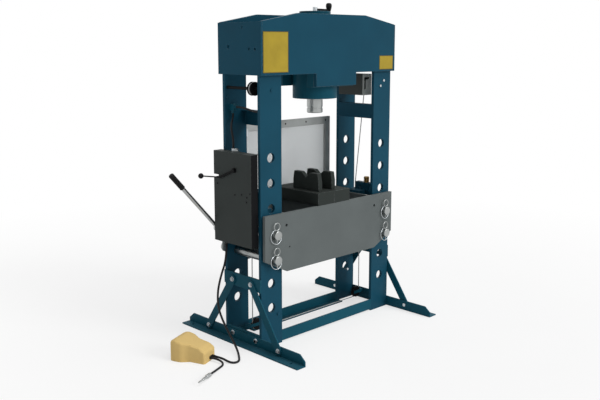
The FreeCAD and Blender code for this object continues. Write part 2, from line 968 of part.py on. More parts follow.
def lower_tie(name, side):
    """A flat bar across the outer edges of the front and rear uprights, drilled for the braces."""
    holes = [(-s.braceFrontTopY, s.braceTopZ, bolt_hole), (s.braceRearTopY, s.braceTopZ, bolt_hole)]
    points = [(-s.postFace, s.lowerTieLow), (s.postFace, s.lowerTieLow),
              (s.postFace, s.lowerTieHigh), (-s.postFace, s.lowerTieHigh)]
    return plate(name, "YZ", points, side * s.postOuter, side * side_out, holes)


node(group("lower_cross_bars", mirrored(lower_tie, "lower_tie")))


def foot_tie(name, side):
    """A bar between the uprights just above the floor, to which a foot is bolted."""
    span = s.postFace - s.postThick
    points = [(-span, s.footTieLow), (span, s.footTieLow), (span, s.footTieHigh), (-span, s.footTieHigh)]
    holes = [(-s.tieBoltFrontY, s.tieBoltZ, bolt_hole), (s.tieBoltRearY, s.tieBoltZ, bolt_hole)]
    return plate(name, "YZ", points, side * (s.postOuter - s.sideThick), side * s.postOuter, holes)


base_bars = mirrored(foot_tie, "foot_tie")

base_bars.append(box("front_bar", (-s.postInner, s.postInner), (-s.postFace, s.sideThick - s.postFace),
                     (s.frontBarLow, s.frontBarHigh)))
rear_bar_face = s.postFace - s.postThick
rear_web = box("rear_web", (-s.postInner, s.postInner), (rear_bar_face, rear_bar_face + s.sideThick),
               (ZERO, s.rearBarHigh))
rear_flange = box("rear_flange", (-s.postInner, s.postInner), (rear_bar_face - s.rearBarDeep, rear_bar_face),
                  (ZERO, s.sideThick))
base_bars.append(fuse("rear_bar", [rear_web, rear_flange]))
node(group("base_bars", base_bars))


def foot(name, side):
    """An angle-iron foot: an upright flange with chamfered ends and a flange on the floor."""
    points = [
        (-s.footFront, ZERO),
        (s.footRear, ZERO),
        (s.footRear, s.footEndHigh),
        (s.footRear - s.footChamfer, s.footHigh),
        (s.footChamfer - s.footFront, s.footHigh),
        (-s.footFront, s.footEndHigh),
    ]
    holes = [
        (-s.braceFrontLowY, s.braceFrontLowZ, bolt_hole),
        (s.braceRearLowY, s.braceRearLowZ, bolt_hole),
        (-s.tieBoltFrontY, s.tieBoltZ, bolt_hole),
        (s.tieBoltRearY, s.tieBoltZ, bolt_hole),
    ]
    web = plate(name + "_web", "YZ", points, side * s.postOuter, side * side_out, holes)
    flange_points = [(side * side_out, -s.footFront), (side * (side_out + s.footWide), -s.footFront),
                     (side * (side_out + s.footWide), s.footRear), (side * side_out, s.footRear)]
    anchors = [(side * anchor_line, -s.anchorAlong, s.anchorRadius),
               (side * anchor_line, s.anchorAlong, s.anchorRadius)]
    flange = plate(name + "_flange", "XY", flange_points, ZERO, s.sideThick, anchors)
    return node(fuse(name, [web, flange]))


mirrored(foot, "foot")


def brace_bar(name, side, end, top_y, low_y, low_z):
    """A flat brace with round ends, built from a turned box and two discs, and drilled."""
    rise = s.braceTopZ - low_z
    run = low_y - top_y
    tilt = math.degrees(math.atan2(run.value, rise.value)) * end
    low, high = low_high(side * side_out, side * brace_out)
    bar = doc.addObject("Part::Box", name + "_bar")
    bar.setExpression("Length", s.sideThick.text)
    bar.setExpression("Width", (2 * s.braceHalf).text)
    bar.Placement = FreeCAD.Placement(FreeCAD.Vector(), FreeCAD.Rotation(FreeCAD.Vector(1, 0, 0), tilt))
    bar.setExpression("Height", "sqrt(%s ^ 2 + %s ^ 2)" % (rise.text, run.text))
    turn = "atan(%s / %s) * %d" % (run.text, rise.text, end)
    bar.setExpression("Placement.Rotation.Angle", turn)
    place(bar, low, ZERO, ZERO)
    bar.setExpression("Placement.Base.y", "%s - %s * cos(%s)" % ((end * low_y).text, s.braceHalf.text, turn))
    bar.setExpression("Placement.Base.z", "%s - %s * sin(%s)" % (low_z.text, s.braceHalf.text, turn))
    upper = rod(name + "_upper", "X", (end * top_y, s.braceTopZ), s.braceHalf, low, high)
    lower = rod(name + "_lower", "X", (end * low_y, low_z), s.braceHalf, low, high)
    blank = fuse(name + "_blank", [bar, upper, lower])
    hole_up = rod(name + "_hole_up", "X", (end * top_y, s.braceTopZ), bolt_hole, low, high)
    hole_low = rod(name + "_hole_low", "X", (end * low_y, low_z), bolt_hole, low, high)
    return cut(name, blank, [hole_up, hole_low])


braces = []
for side, side_word in ((-1, "left"), (1, "right")):
    braces.append(brace_bar("brace_front_" + side_word, side, -1, s.braceFrontTopY, s.braceFrontLowY,
                            s.braceFrontLowZ))
    braces.append(brace_bar("brace_rear_" + side_word, side, 1, s.braceRearTopY, s.braceRearLowY,
                            s.braceRearLowZ))
node(group("braces", braces))


def frame_bolt(name, side, y, z, face, tail):
    """A hexagon bolt with its nut, along X, clamping plates between a face and a tail plane."""
    head = hexagon(name + "_head", "X", (y, z), s.boltHead, side * face, side * (face + s.boltHeadTall))
    shank = rod(name + "_shank", "X", (y, z), s.boltRadius, side * face, side * (tail - s.boltHeadTall))
    nut = hexagon(name + "_nut", "X", (y, z), s.boltHead, side * tail, side * (tail - s.boltHeadTall))
    return fuse(name, [head, shank, nut])


bolts = []
inside = s.postOuter - s.sideThick
brace_bolts = [
    ("front_top", -s.braceFrontTopY, s.braceTopZ),
    ("rear_top", s.braceRearTopY, s.braceTopZ),
    ("front_low", -s.braceFrontLowY, s.braceFrontLowZ),
    ("rear_low", s.braceRearLowY, s.braceRearLowZ),
]
tie_bolts = [("front", -s.tieBoltFrontY, s.tieBoltZ), ("rear", s.tieBoltRearY, s.tieBoltZ)]
for side, side_word in ((-1, "left"), (1, "right")):
    for word, y, z in brace_bolts:
        name = "brace_bolt_%s_%s" % (word, side_word)
        bolts.append(frame_bolt(name, side, y, z, brace_out, s.postOuter))
    for word, y, z in tie_bolts:
        name = "tie_bolt_%s_%s" % (word, side_word)
        bolts.append(frame_bolt(name, side, y, z, side_out, inside))

# small bolt heads on the outer faces of the uprights, at the places where they show
front_skin = -s.postFace
rear_skin = s.postFace - s.postThick
small_bolt_places = [
    (bolt_top_left_x, bolt_top_left_z, front_skin),
    (bolt_top_right_x, bolt_top_right_z, front_skin),
    (bolt_inner_right_x, bolt_inner_right_z, front_skin),
    (bolt_low_left_x, s.boltLowLeftZ, front_skin),
    (bolt_rear_right_x, s.boltRearRightZ, rear_skin),
    (bolt_rear_left_x, bolt_rear_left_z, rear_skin),
]
for index, (x, z, face) in enumerate(small_bolt_places):
    bolts.append(hexagon("small_bolt_%d" % index, "Y", (x, z), s.smallHead, face, face - s.smallHeadTall))
node(group("frame_bolts", bolts))

# ---------------------------------------------------------------------------- cylinder, ram
barrel_blank = rod("barrel_blank", "Z", (s.ramLine, ZERO), s.barrelRadius, barrel_low, barrel_high)
barrel_bore = rod("barrel_bore", "Z", (s.ramLine, ZERO), s.boreRadius, barrel_low, bore_top)
node(cut("cylinder_barrel", barrel_blank, [barrel_bore]))

gland_points = [
    (s.ramRadius + s.slideFit, barrel_low),
    (s.boreRadius, barrel_low),
    (s.boreRadius, gland_high),
    (s.ramRadius + s.slideFit, gland_high),
]
node(turned("cylinder_gland", gland_points, s.ramLine))

cap_blank = rod("cap_blank", "Z", (s.ramLine, ZERO), s.capRadius, seat_high, cap_high)
cap_hole = rod("cap_hole", "Z", (s.ramLine, ZERO), s.crankShaftRadius + s.slideFit,
               cap_high - s.crankShaftDeep - s.runGap, cap_high)
node(cut("cylinder_cap", cap_blank, [cap_hole]))

piston_radius = s.boreRadius - s.slideFit
piston_top = bore_top - s.pistonTopGap
ram_points = [
    (ZERO, ram_low),
    (s.ramRadius - s.ramEdge, ram_low),
    (s.ramRadius, ram_low + s.ramEdge),
    (s.ramRadius, ram_groove_low),
    (s.ramRadius - s.ramGrooveDeep, ram_groove_low),
    (s.ramRadius - s.ramGrooveDeep, ram_groove_low + s.ramGrooveTall),
    (s.ramRadius, ram_groove_low + s.ramGrooveTall),
    (s.ramRadius, piston_top - s.pistonTall),
    (piston_radius, piston_top - s.pistonTall),
    (piston_radius, piston_top),
    (ZERO, piston_top),
]
node(turned("ram", ram_points, s.ramLine))

# crank: a shaft in the cap, a hub, a tapered arm and an upright knob
crank_hub_points = [
    (ZERO, cap_high - s.crankShaftDeep),
    (s.crankShaftRadius, cap_high - s.crankShaftDeep),
    (s.crankShaftRadius, cap_high + s.runGap),
    (s.crankHubRadius, cap_high + s.runGap),
    (s.crankHubRadius, crank_hub_high),
    (ZERO, crank_hub_high),
]
crank_hub = turned("crank_hub", crank_hub_points, s.ramLine)
knob_line = s.ramLine + s.crankReach
arm_tip = knob_line - s.crankKnobRadius + s.crankArmSeat
arm_points = [
    (s.ramLine, -s.crankArmWide / 2),
    (arm_tip, -s.crankArmTip / 2),
    (arm_tip, s.crankArmTip / 2),
    (s.ramLine, s.crankArmWide / 2),
]
arm_top = crank_arm_low + s.crankArmThick
crank_arm = plate("crank_arm", "XY", arm_points, crank_arm_low, arm_top)
node(fuse("crank", [crank_hub, crank_arm]))
knob_points = [
    (ZERO, crank_knob_low),
    (s.crankKnobRadius - s.knobEdge, crank_knob_low),
    (s.crankKnobRadius, crank_knob_low + s.knobEdge),
    (s.crankKnobRadius, crank_knob_high - s.knobEdge),
    (s.crankKnobRadius - s.knobEdge, crank_knob_high),
    (ZERO, crank_knob_high),
]
knob_blank = turned("knob_blank", knob_points, knob_line)
arm_socket = plate("arm_socket", "XY", arm_points, crank_arm_low, arm_top)
node(cut("crank_knob", knob_blank, [arm_socket]))

# ---------------------------------------------------------------------------- bed


def bed_plate(name, end):
    """A bed side plate with cut lower corners, hung on the pins by its four holes."""
    points = [
        (-bed_half, bed_side_low),
        (-bed_low_half, bed_low),
        (bed_low_half, bed_low),
        (bed_half, bed_side_low),
        (bed_half, bed_high),
        (-bed_half, bed_high),
    ]
    holes = []
    for side in (-1, 1):
        for level in (level_low, level_high):
            holes.append((side * pin_line, level - s.bedDrop, s.pinHoleRadius))
    if end < 0:
        holes.append((s.bedHoleLeftX, s.bedHoleLeftZ, s.bedHoleRadius))
        holes.append((s.bedHoleRightX, s.bedHoleRightZ, s.bedHoleRadius))
        holes.append((s.bedHoleSmallX, s.bedHoleSmallZ, s.bedHoleSmall))
    return node(plate(name, "XZ", points, end * s.bedFace, end * (s.bedFace - s.bedThick), holes))


bed_plate("bed_front_plate", -1)
bed_plate("bed_rear_plate", 1)

bed_inside = s.bedFace - s.bedThick
webs = []
for index, (x, other) in enumerate((
        (-bed_web_outer, s.bedWebThick - bed_web_outer), (-s.bedWebMiddle, s.bedWebThick - s.bedWebMiddle),
        (s.bedWebMiddle - s.bedWebThick, s.bedWebMiddle), (bed_web_outer - s.bedWebThick, bed_web_outer))):
    webs.append(box("bed_web_%d" % index, (x, other), (-bed_inside, bed_inside), (bed_web_low, bed_web_high)))
node(group("bed_webs", webs))


def draw_pin(name, side, level):
    """A draw pin with bevelled ends, cross-drilled for its clip."""
    centre = level - s.pinDrop
    points = [
        (ZERO, -s.pinFront),
        (s.pinRadius - s.pinEdge, -s.pinFront),
        (s.pinRadius, s.pinEdge - s.pinFront),
        (s.pinRadius, s.pinRear - s.pinEdge),
        (s.pinRadius - s.pinEdge, s.pinRear),
        (ZERO, s.pinRear),
    ]
    blank = turned(name + "_blank", points, side * pin_line, ZERO, centre, TURNS["Y"])
    clip_y = s.clipBack - s.pinFront
    hole = rod(name + "_clip_hole", "Z", (side * pin_line, clip_y), s.clipWire,
               centre - s.pinRadius, centre + s.pinRadius)
    shank = cut(name + "_shank", blank, [hole])
    ring_z = centre + s.pinRadius + s.clipWire + s.clipRing
    loop = ring(name + "_loop", "Y", (side * pin_line, ring_z), s.clipRing, s.clipWire, clip_y)
    leg = rod(name + "_leg", "Z", (side * pin_line, clip_y), s.clipWire, centre - s.clipTail,
              centre + s.pinRadius + s.clipWire)
    node(group(name, [shank, fuse(name + "_clip", [loop, leg])]))


for side, side_word in ((-1, "left"), (1, "right")):
    draw_pin("bed_pin_low_" + side_word, side, level_low)
    draw_pin("bed_pin_high_" + side_word, side, level_high)

# two bars across the bed and the V-blocks on them
bar_left = box("bar_left", (-s.barLeft, s.barSplit), (-s.bedFace, s.bedFace), (bed_high, bar_high))
bar_right = box("bar_right", (s.barSplit + s.runGap, s.barRight), (-s.bedFace, s.bedFace),
                (bed_high, bar_high))
node(group("support_bars", [bar_left, bar_right]))


def vee_block(name, x):
    """A V-block plate: tapered ends and a V cut in its top edge."""
    points = [
        (-s.veeFront, bar_high),
        (s.veeRear, bar_high),
        (s.veeRear, bar_high + s.veeEndHigh),
        (s.veeRear - s.veeTopIn, vee_high),
        (s.veeHalf - s.veeMiddle, vee_high),
        (-s.veeMiddle, vee_high - s.veeDeep),
        (-s.veeHalf - s.veeMiddle, vee_high),
        (s.veeTopIn - s.veeFront, vee_high),
        (-s.veeFront, bar_high + s.veeEndHigh),
    ]
    return plate(name, "YZ", points, x, x + s.veeThick)


node(group("v_blocks", [vee_block("vee_left", -s.veeFirstX), vee_block("vee_right", s.veeSecondX)]))

# ---------------------------------------------------------------------------- bed lift
def yoke(name, side, span, rear, high, arm_outer):
    """A lifting yoke: a bar between the uprights and an arm from the bed's end web."""
    bar = box(name + "_bar", (side * span[0], side * span[1]), (-s.yokeFront, rear), (yoke_low, high))
    arm = box(name + "_arm", (side * bed_web_outer, side * arm_outer), (-s.yokeArmHalf, s.yokeArmHalf),
              (yoke_low, yoke_arm_high))
    return fuse(name, [bar, arm])


yoke_left = yoke("yoke_left", -1, (yoke_left_inner, yoke_left_outer), s.yokeLeftRear, yoke_left_high,
                 yoke_left_inner)
yoke_right_blank = yoke("yoke_right_blank", 1, (yoke_inner, yoke_outer), s.yokeRear, yoke_high,
                        yoke_arm_outer)
yoke_bolt = hexagon("yoke_bolt", "X", (-s.yokeBoltY, yoke_bolt_z), s.boltHead, yoke_inner,
                    yoke_inner - s.boltHeadTall)
node(group("lift_yokes", [yoke_left, fuse("yoke_right", [yoke_right_blank, yoke_bolt])]))

adjuster_points = [(ZERO, yoke_high), (s.adjusterRadius, yoke_high)]
rib_pitch = s.adjusterTall / s.adjusterRibs
for index in range(SIZES["adjusterRibs"]):
    base = yoke_high + rib_pitch * index
    adjuster_points.append((s.adjusterRadius, base + rib_pitch / 2))
    if index + 1 < SIZES["adjusterRibs"]:
        adjuster_points.append((s.adjusterRib, base + rib_pitch * 0.75))
        adjuster_points.append((s.adjusterRadius, base + rib_pitch))
adjuster_points.append((s.adjusterRib, yoke_high + s.adjusterTall))
adjuster_points.append((ZERO, yoke_high + s.adjusterTall))
node(turned("rope_adjuster", adjuster_points, adjuster_x, -s.adjusterY))

shaft_span = s.postFace - s.postThick
drum_core = s.drumTurn - s.ropeRadius
drum_points = [
    (s.drumShaft, -s.drumHalf),
    (s.drumFlange, -s.drumHalf),
    (s.drumFlange, s.drumFlangeThick - s.drumHalf),
    (drum_core, s.drumFlangeThick - s.drumHalf),
    (drum_core, s.drumHalf - s.drumFlangeThick),
    (s.drumFlange, s.drumHalf - s.drumFlangeThick),
    (s.drumFlange, s.drumHalf),
    (s.drumShaft, s.drumHalf),
]
sheaves = [turned("lift_drum", drum_points, -drum_x, -s.drumY, drum_z, TURNS["Y"])]
shafts = [rod("lift_shaft", "Y", (-drum_x, drum_z), s.drumShaft, -shaft_span, shaft_span)]

pulley_core = s.pulleyTurn - s.ropeRadius
pulley_x = {-1: s.pulleyTurn - rope_left_x, 1: rope_right_x - s.pulleyTurn}
pulley_points = [
    (s.pulleyPin, -s.pulleyHalf),
    (s.pulleyRadius, -s.pulleyHalf),
    (s.pulleyRadius, -s.ropeRadius),
    (pulley_core, -s.ropeRadius),
    (pulley_core, s.ropeRadius),
    (s.pulleyRadius, s.ropeRadius),
    (s.pulleyRadius, s.pulleyHalf),
    (s.pulleyPin, s.pulleyHalf),
]


def pulley(name, side):
    """A grooved pulley that turns the rope from its vertical run to the run along the floor."""
    return turned(name, pulley_points, pulley_x[side], s.pulleyY, s.pulleyZ, TURNS["Y"])


sheaves += mirrored(pulley, "pulley")


def pulley_fork(name, side):
    """Two cheeks and a pin that hold a pulley out from the foot tie."""
    near = s.postOuter - s.sideThick
    cheeks = []
    for word, end in (("front", -1), ("rear", 1)):
        inner = s.pulleyY + end * s.pulleyHalf
        cheeks.append(box(name + "_" + word, (pulley_x[side] - side * s.cheekPast, side * near),
                          (inner, inner + end * s.cheekThick), (s.cheekLow, s.cheekHigh)))
    bridge = box(name + "_bridge", (side * cheek_foot, side * near),
                 (s.pulleyY - s.pulleyHalf, s.pulleyY + s.pulleyHalf), (s.cheekLow, s.cheekHigh))
    across = s.pulleyHalf + s.cheekThick
    axle = rod(name + "_axle", "Y", (pulley_x[side], s.pulleyZ), s.pulleyPin,
               s.pulleyY - across, s.pulleyY + across)
    return fuse(name, cheeks + [bridge, axle])


node(group("pulley_forks", mirrored(pulley_fork, "pulley_fork")))

# housing at the upper right with the reel of the right-hand rope
case_outer = box("case_outer", (s.postInner, case_outer_x), (-s.caseFront, shaft_span),
                 (case_low, case_high))
case_inner = box("case_inner", (s.postInner + s.caseWall, case_outer_x - s.caseWall),
                 (s.caseWall - s.caseFront, shaft_span - s.caseWall), (case_low, case_high - s.caseWall))
slot_across = box("slot_across", (slot_left, slot_right), (-s.caseFront, s.caseWall - s.caseFront),
                  (slot_top - s.slotWide, slot_top))
slot_down = box("slot_down", (slot_left, slot_left + s.slotWide), (-s.caseFront, s.caseWall - s.caseFront),
                (slot_low, slot_top))
node(cut("rope_case", case_outer, [case_inner, slot_across, slot_down]))

reel_core = s.reelTurn - s.ropeRadius
reel_points = [
    (s.reelShaft, -s.reelHalf),
    (s.reelTurn, -s.reelHalf),
    (s.reelTurn, -s.ropeRadius),
    (reel_core, -s.ropeRadius),
    (reel_core, s.ropeRadius),
    (s.reelTurn, s.ropeRadius),
    (s.reelTurn, s.reelHalf),
    (s.reelShaft, s.reelHalf),
]
sheaves.append(turned("rope_reel", reel_points, reel_x, s.reelY, reel_z, TURNS["X"]))
shafts.append(rod("reel_shaft", "X", (s.reelY, reel_z), s.reelShaft, s.postInner + s.caseWall,
                  case_outer_x - s.caseWall))
node(group("lift_sheaves", sheaves))
node(group("lift_shafts", shafts))

# ropes: drum to left yoke, left yoke to right yoke along the floor, reel to right yoke
drum_right = s.drumTurn - drum_x
drum_left = -s.drumTurn - drum_x
rope_drum = tube("rope_drum", [
    (drum_right, -s.drumY, yoke_left_high),
    (drum_right, -s.drumY, drum_z + s.drumTurn),
    (drum_left, -s.drumY, drum_z + s.drumTurn),
    (drum_left, -s.drumY, drum_z - s.drumTurn),
    (-drum_x, -s.drumY, drum_z - s.drumTurn),
], s.ropeRadius, [s.drumTurn] * 3)
rope_floor = s.pulleyZ - s.pulleyTurn
rope_floor_route = [
    (-rope_left_x, s.pulleyY, yoke_low),
    (-rope_left_x, s.pulleyY, rope_floor),
    (rope_right_x, s.pulleyY, rope_floor),
    (rope_right_x, s.pulleyY, yoke_low),
]
rope_across = tube("rope_across", rope_floor_route, s.ropeRadius, [s.pulleyTurn] * 2)

# the reel rope rises from its anchor on the yoke arm, then leans to the front of the reel
rope_knee = yoke_arm_high + s.reelRopeRise
away_y = s.reelY.value - s.reelRopeY.value
away_z = reel_z.value - rope_knee.value
reach = math.hypot(away_y, away_z)
lean = math.atan2(away_y, away_z) - math.asin(s.reelTurn.value / reach)
reel_top = reel_z + s.reelTurn
corner_y = s.reelRopeY.value + math.tan(lean) * (reel_top.value - rope_knee.value)
rope_reel_line = tube("rope_reel_line", [
    (reel_x, s.reelRopeY, yoke_arm_high),
    (reel_x, s.reelRopeY, rope_knee),
    (reel_x, corner_y, reel_top),
    (reel_x, s.reelY + s.reelTurn, reel_top),
    (reel_x, s.reelY + s.reelTurn, reel_z),
], s.ropeRadius, [s.reelRopeBend, s.reelTurn, s.reelTurn])
node(group("lift_ropes", [rope_drum, rope_across, rope_reel_line]))

# ---------------------------------------------------------------------------- guard
guard_back = s.guardFace + s.guardThick
rail = s.guardRail
guard_outer = box("guard_outer", (-guard_left, guard_right), (s.guardFace, guard_back),
                  (s.guardLow, guard_high))
guard_window = box("guard_window", (rail - guard_left, guard_right - rail), (s.guardFace, guard_back),
                   (s.guardLow + rail, guard_high - rail))
lap = rail - s.paneLap
pane_x = (lap - guard_left, guard_right - lap)
pane_z = (s.guardLow + lap, guard_high - lap)
pane_groove = box("pane_groove", pane_x, (s.paneFace, s.paneFace + s.paneThick), pane_z)
node(cut("guard_frame", guard_outer, [guard_window, pane_groove]))
node(box("guard_pane", pane_x, (s.paneFace, s.paneFace + s.paneThick), pane_z))
lugs = []
for word, low in (("low", guard_lug_low), ("high", guard_lug_high)):
    lugs.append(box("guard_lug_" + word, (-s.postInner - s.guardLugOut, s.guardLugIn - s.postInner),
                    (s.postFace, s.guardFace), (low, low + s.guardLugTall)))
node(group("guard_brackets", lugs))

# ---------------------------------------------------------------------------- pump unit
wall = s.coverWall
cover_y = (-s.coverFront, s.coverRear)
cover_sheet = box("cover_sheet", (-cover_face, wall - cover_face), cover_y, (s.coverLow, cover_high))
cover_front = box("cover_front", (-cover_face, -cover_inner), (-s.coverFront, wall - s.coverFront),
                  (s.coverLow, cover_high))
cover_rear = box("cover_rear", (-cover_face, -cover_rear_inner), (s.coverRear - wall, s.coverRear),
                 (s.coverLow, cover_high))
cover_top = box("cover_top", (-cover_face, -s.postOuter), cover_y, (cover_high - wall, cover_high))
cover_blank = fuse("cover_blank", [cover_sheet, cover_front, cover_rear, cover_top])
cover_notch = box("cover_notch", (-cover_face, -cover_inner), (s.coverRear - s.coverNotchLong, s.coverRear),
                  (cover_notch_low, cover_notch_high))
cover_pin_hole = rod("cover_pin_hole", "Y", (-lever_pivot_x, lever_pivot_z), s.leverPin + s.boltGap,
                     s.coverRear - wall, s.coverRear)
node(cut("pump_cover", cover_blank, [cover_notch, cover_pin_hole]))

body_box = box("body_box", (wall - cover_face, -body_inner), (-s.bodyFront, shaft_span),
               (body_low, body_high))
air_fitting = hexagon("air_fitting", "Z", (-air_fitting_x, s.airFittingY), s.boltHead,
                      air_fitting_low, body_low)
node(fuse("pump_body", [body_box, air_fitting]))

screw_places = [
    (s.screwRearY, screw_rear_z),
    (s.screwMiddleY, screw_middle_z),
    (s.screwNearY, screw_near_z),
    (s.screwFrontY, screw_front_z),
    (s.screwLowY, screw_low_z),
    (s.screwEdgeY, screw_edge_z),
]
screws = [rod("cover_screw_%d" % index, "X", (y, z), s.coverScrew, -cover_face,
              -cover_face - s.coverScrewTall) for index, (y, z) in enumerate(screw_places)]
node(group("cover_screws", screws))

# pump lever: pivot pin with a shoulder and an end disc, socket, tube and grip
pivot = (-lever_pivot_x, lever_pivot_z)
socket_front = lever_pivot_y - s.leverSocketHalf
socket_rear = lever_pivot_y + s.leverSocketHalf
pin_end = socket_rear + s.runGap + s.leverDisc
lever_pin = rod("lever_pin", "Y", pivot, s.leverPin, shaft_span, pin_end)
pin_shoulder = rod("pin_shoulder", "Y", pivot, s.leverSocket, s.coverRear + s.runGap, socket_front - s.runGap)
pin_disc = rod("pin_disc", "Y", pivot, s.leverSocket, socket_rear + s.runGap, pin_end)
pump_pivot = fuse("pump_pivot", [lever_pin, pin_shoulder, pin_disc])

lever_turn = FreeCAD.Rotation(FreeCAD.Vector(0, 1, 0), -SIZES["leverAngle"])


def on_lever(name, radius, first, second):
    """A round bar on the lever's line, between two distances from the pivot."""
    item = doc.addObject("Part::Cylinder", name)
    item.setExpression("Radius", term(radius).text)
    item.setExpression("Height", (term(second) - term(first)).text)
    item.Placement = FreeCAD.Placement(FreeCAD.Vector(), lever_turn)
    place(item, -lever_pivot_x, lever_pivot_y, lever_pivot_z)
    start = term(first)
    start_x = "%s - %s * sin(Sizes.leverAngle)" % ((-lever_pivot_x).text, start.text)
    start_z = "%s + %s * cos(Sizes.leverAngle)" % (lever_pivot_z.text, start.text)
    item.setExpression("Placement.Base.x", start_x)
    item.setExpression("Placement.Base.z", start_z)
    return item


socket_blank = rod("socket_blank", "Y", pivot, s.leverSocket, socket_front, socket_rear)
tube_end = s.leverLong - s.gripEnd
lever_tube = on_lever("lever_tube", s.leverTube, ZERO, tube_end)
socket_bore = rod("socket_bore", "Y", pivot, s.leverPin + s.slideFit, socket_front, socket_rear)
node(cut("pump_lever", fuse("lever_blank", [socket_blank, lever_tube]), [socket_bore]))
grip_blank = on_lever("grip_blank", s.gripRadius, s.leverLong - s.gripLong, s.leverLong)
grip_bore = on_lever("grip_bore", s.leverTube, s.leverLong - s.gripLong, tube_end)
node(cut("pump_grip", grip_blank, [grip_bore]))

# valve lever: stud on the cover, hub, flat arm, slant rod and ball
valve_centre = (-s.valveY, valve_z)
valve_far = valve_near + s.valveThick
stud_shank = rod("stud_shank", "X", valve_centre, s.valvePin, -cover_face,
                 -(valve_far + s.runGap + s.valveHeadTall))
stud_head = rod("stud_head", "X", valve_centre, s.valveHead, -(valve_far + s.runGap),
                -(valve_far + s.runGap + s.valveHeadTall))
stud_collar = rod("stud_collar", "X", valve_centre, s.valveHead, -cover_face, -(valve_near - s.runGap))
node(group("lever_pivots", [pump_pivot, fuse("valve_stud", [stud_shank, stud_head, stud_collar])]))

hub_blank = rod("hub_blank", "X", valve_centre, s.valveHub, -valve_near, -valve_far)
arm_tip_y = s.valveArmY
arm_tip_z = valve_arm_z
half = s.valveArmHalf
arm_run = s.valveArmY + s.valveY
arm_drop = valve_z - valve_arm_z
arm_long = math.hypot(arm_run.value, arm_drop.value)
side_y = half.value * arm_drop.value / arm_long
side_z = half.value * arm_run.value / arm_long
valve_arm_points = [
    (-s.valveY.value - side_y, valve_z.value - side_z),
    (arm_tip_y.value - side_y, arm_tip_z.value - side_z),
    (arm_tip_y.value + side_y, arm_tip_z.value + side_z),
    (-s.valveY.value + side_y, valve_z.value + side_z),
]
valve_arm = plate("valve_arm", "YZ", valve_arm_points, -valve_near, -valve_far)
arm_end = rod("arm_end", "X", (arm_tip_y, arm_tip_z), half, -valve_near, -valve_far)
rod_start_x = (-valve_near - valve_far) / 2
valve_rod = tube("valve_rod", [(rod_start_x, arm_tip_y, arm_tip_z),
                               (-s.valveBallX, s.valveBallY, valve_arm_z)], s.valveRod)
valve_blank = fuse("valve_blank", [hub_blank, valve_arm, arm_end, valve_rod])
valve_bore = rod("valve_bore", "X", valve_centre, s.valvePin + s.slideFit, -valve_near, -valve_far)
ball_seat = ball("ball_seat", s.valveBall, -s.valveBallX, s.valveBallY, valve_arm_z)
node(cut("valve_lever", valve_blank, [valve_bore, ball_seat]))
node(ball("valve_knob", s.valveBall, -s.valveBallX, s.valveBallY, valve_arm_z))

# ---------------------------------------------------------------------------- oil fittings
manifold_block = box("manifold_block", (-manifold_outer, -manifold_inner), (s.manifoldFront, shaft_span),
                     (upper_tie_high, manifold_high))
manifold_y = (s.manifoldFront + shaft_span) / 2
hose_fitting_low = upper_tie_high - s.fittingLong
hose_fitting = hexagon("hose_fitting", "Z", (-oil_hose_top_x, manifold_y), s.fittingRadius,
                       hose_fitting_low, upper_tie_high)
front_fitting = hexagon("front_fitting", "Y", (-gauge_line_x, oil_hose_z), s.gaugeEndRadius,
                        s.manifoldFront, s.manifoldFront - s.fittingLong)
node(fuse("oil_manifold", [manifold_block, hose_fitting, front_fitting]))

line_start = s.manifoldFront - s.fittingLong
line_end = s.fittingLong - shaft_span
gauge_end = hexagon("gauge_end", "Y", (-gauge_line_x, gauge_line_low), s.gaugeEndRadius,
                    -shaft_span, line_end)
top_fitting = hexagon("top_fitting", "Z", (-oil_hose_down_x, s.oilHoseY), s.fittingRadius,
                      cover_high, cover_high + s.fittingLong)
node(group("oil_fittings", [gauge_end, top_fitting]))
oil_hose = tube("oil_hose", [
    (-oil_hose_top_x, manifold_y, hose_fitting_low),
    (-oil_hose_top_x, manifold_y, hose_fitting_low - s.oilHoseDrop),
    (-oil_hose_down_x - s.oilHoseBow, s.oilHoseY + s.oilHoseLean, oil_hose_z - s.oilHoseUpper),
    (-oil_hose_down_x, s.oilHoseY, oil_hose_z - s.oilHoseLower),
    (-oil_hose_down_x, s.oilHoseY, cover_high + s.fittingLong),
], s.oilHoseRadius)
thin_line = tube("thin_line", [
    (-gauge_line_x, line_start, oil_hose_z),
    (-gauge_line_x, line_start - s.gaugeLineRun, oil_hose_z),
    (-gauge_line_x, line_end + s.gaugeLineRun, gauge_line_low),
    (-gauge_line_x, line_end, gauge_line_low),
], s.gaugeLineRadius)
node(group("oil_hoses", [oil_hose, thin_line]))

# ---------------------------------------------------------------------------- head labels
label_x = (-label_left, -label_right)
label_y = (-head_face - s.labelThick, -head_face)
large_label = box("large_label", label_x, label_y, (label_low, label_high))
small_label = box("small_label", (small_label_left, small_label_right), label_y,
                  (small_label_low, small_label_high))
node(group("head_labels", [large_label, small_label]))

# ---------------------------------------------------------------------------- foot pedal
pedal_turn = FreeCAD.Rotation(FreeCAD.Vector(0, 0, 1), SIZES["pedalTurn"])


def on_floor(item, name):
    """Carry a finished pedal part from the pedal's own axes to its place on the floor."""
    item.Placement = FreeCAD.Placement(FreeCAD.Vector(), pedal_turn)
    item.setExpression("Placement.Base.x", (-s.pedalX).text)
    item.setExpression("Placement.Base.y", (-s.pedalY).text)
    item.setExpression("Placement.Rotation.Angle", "Sizes.pedalTurn")
    return node(item, name)


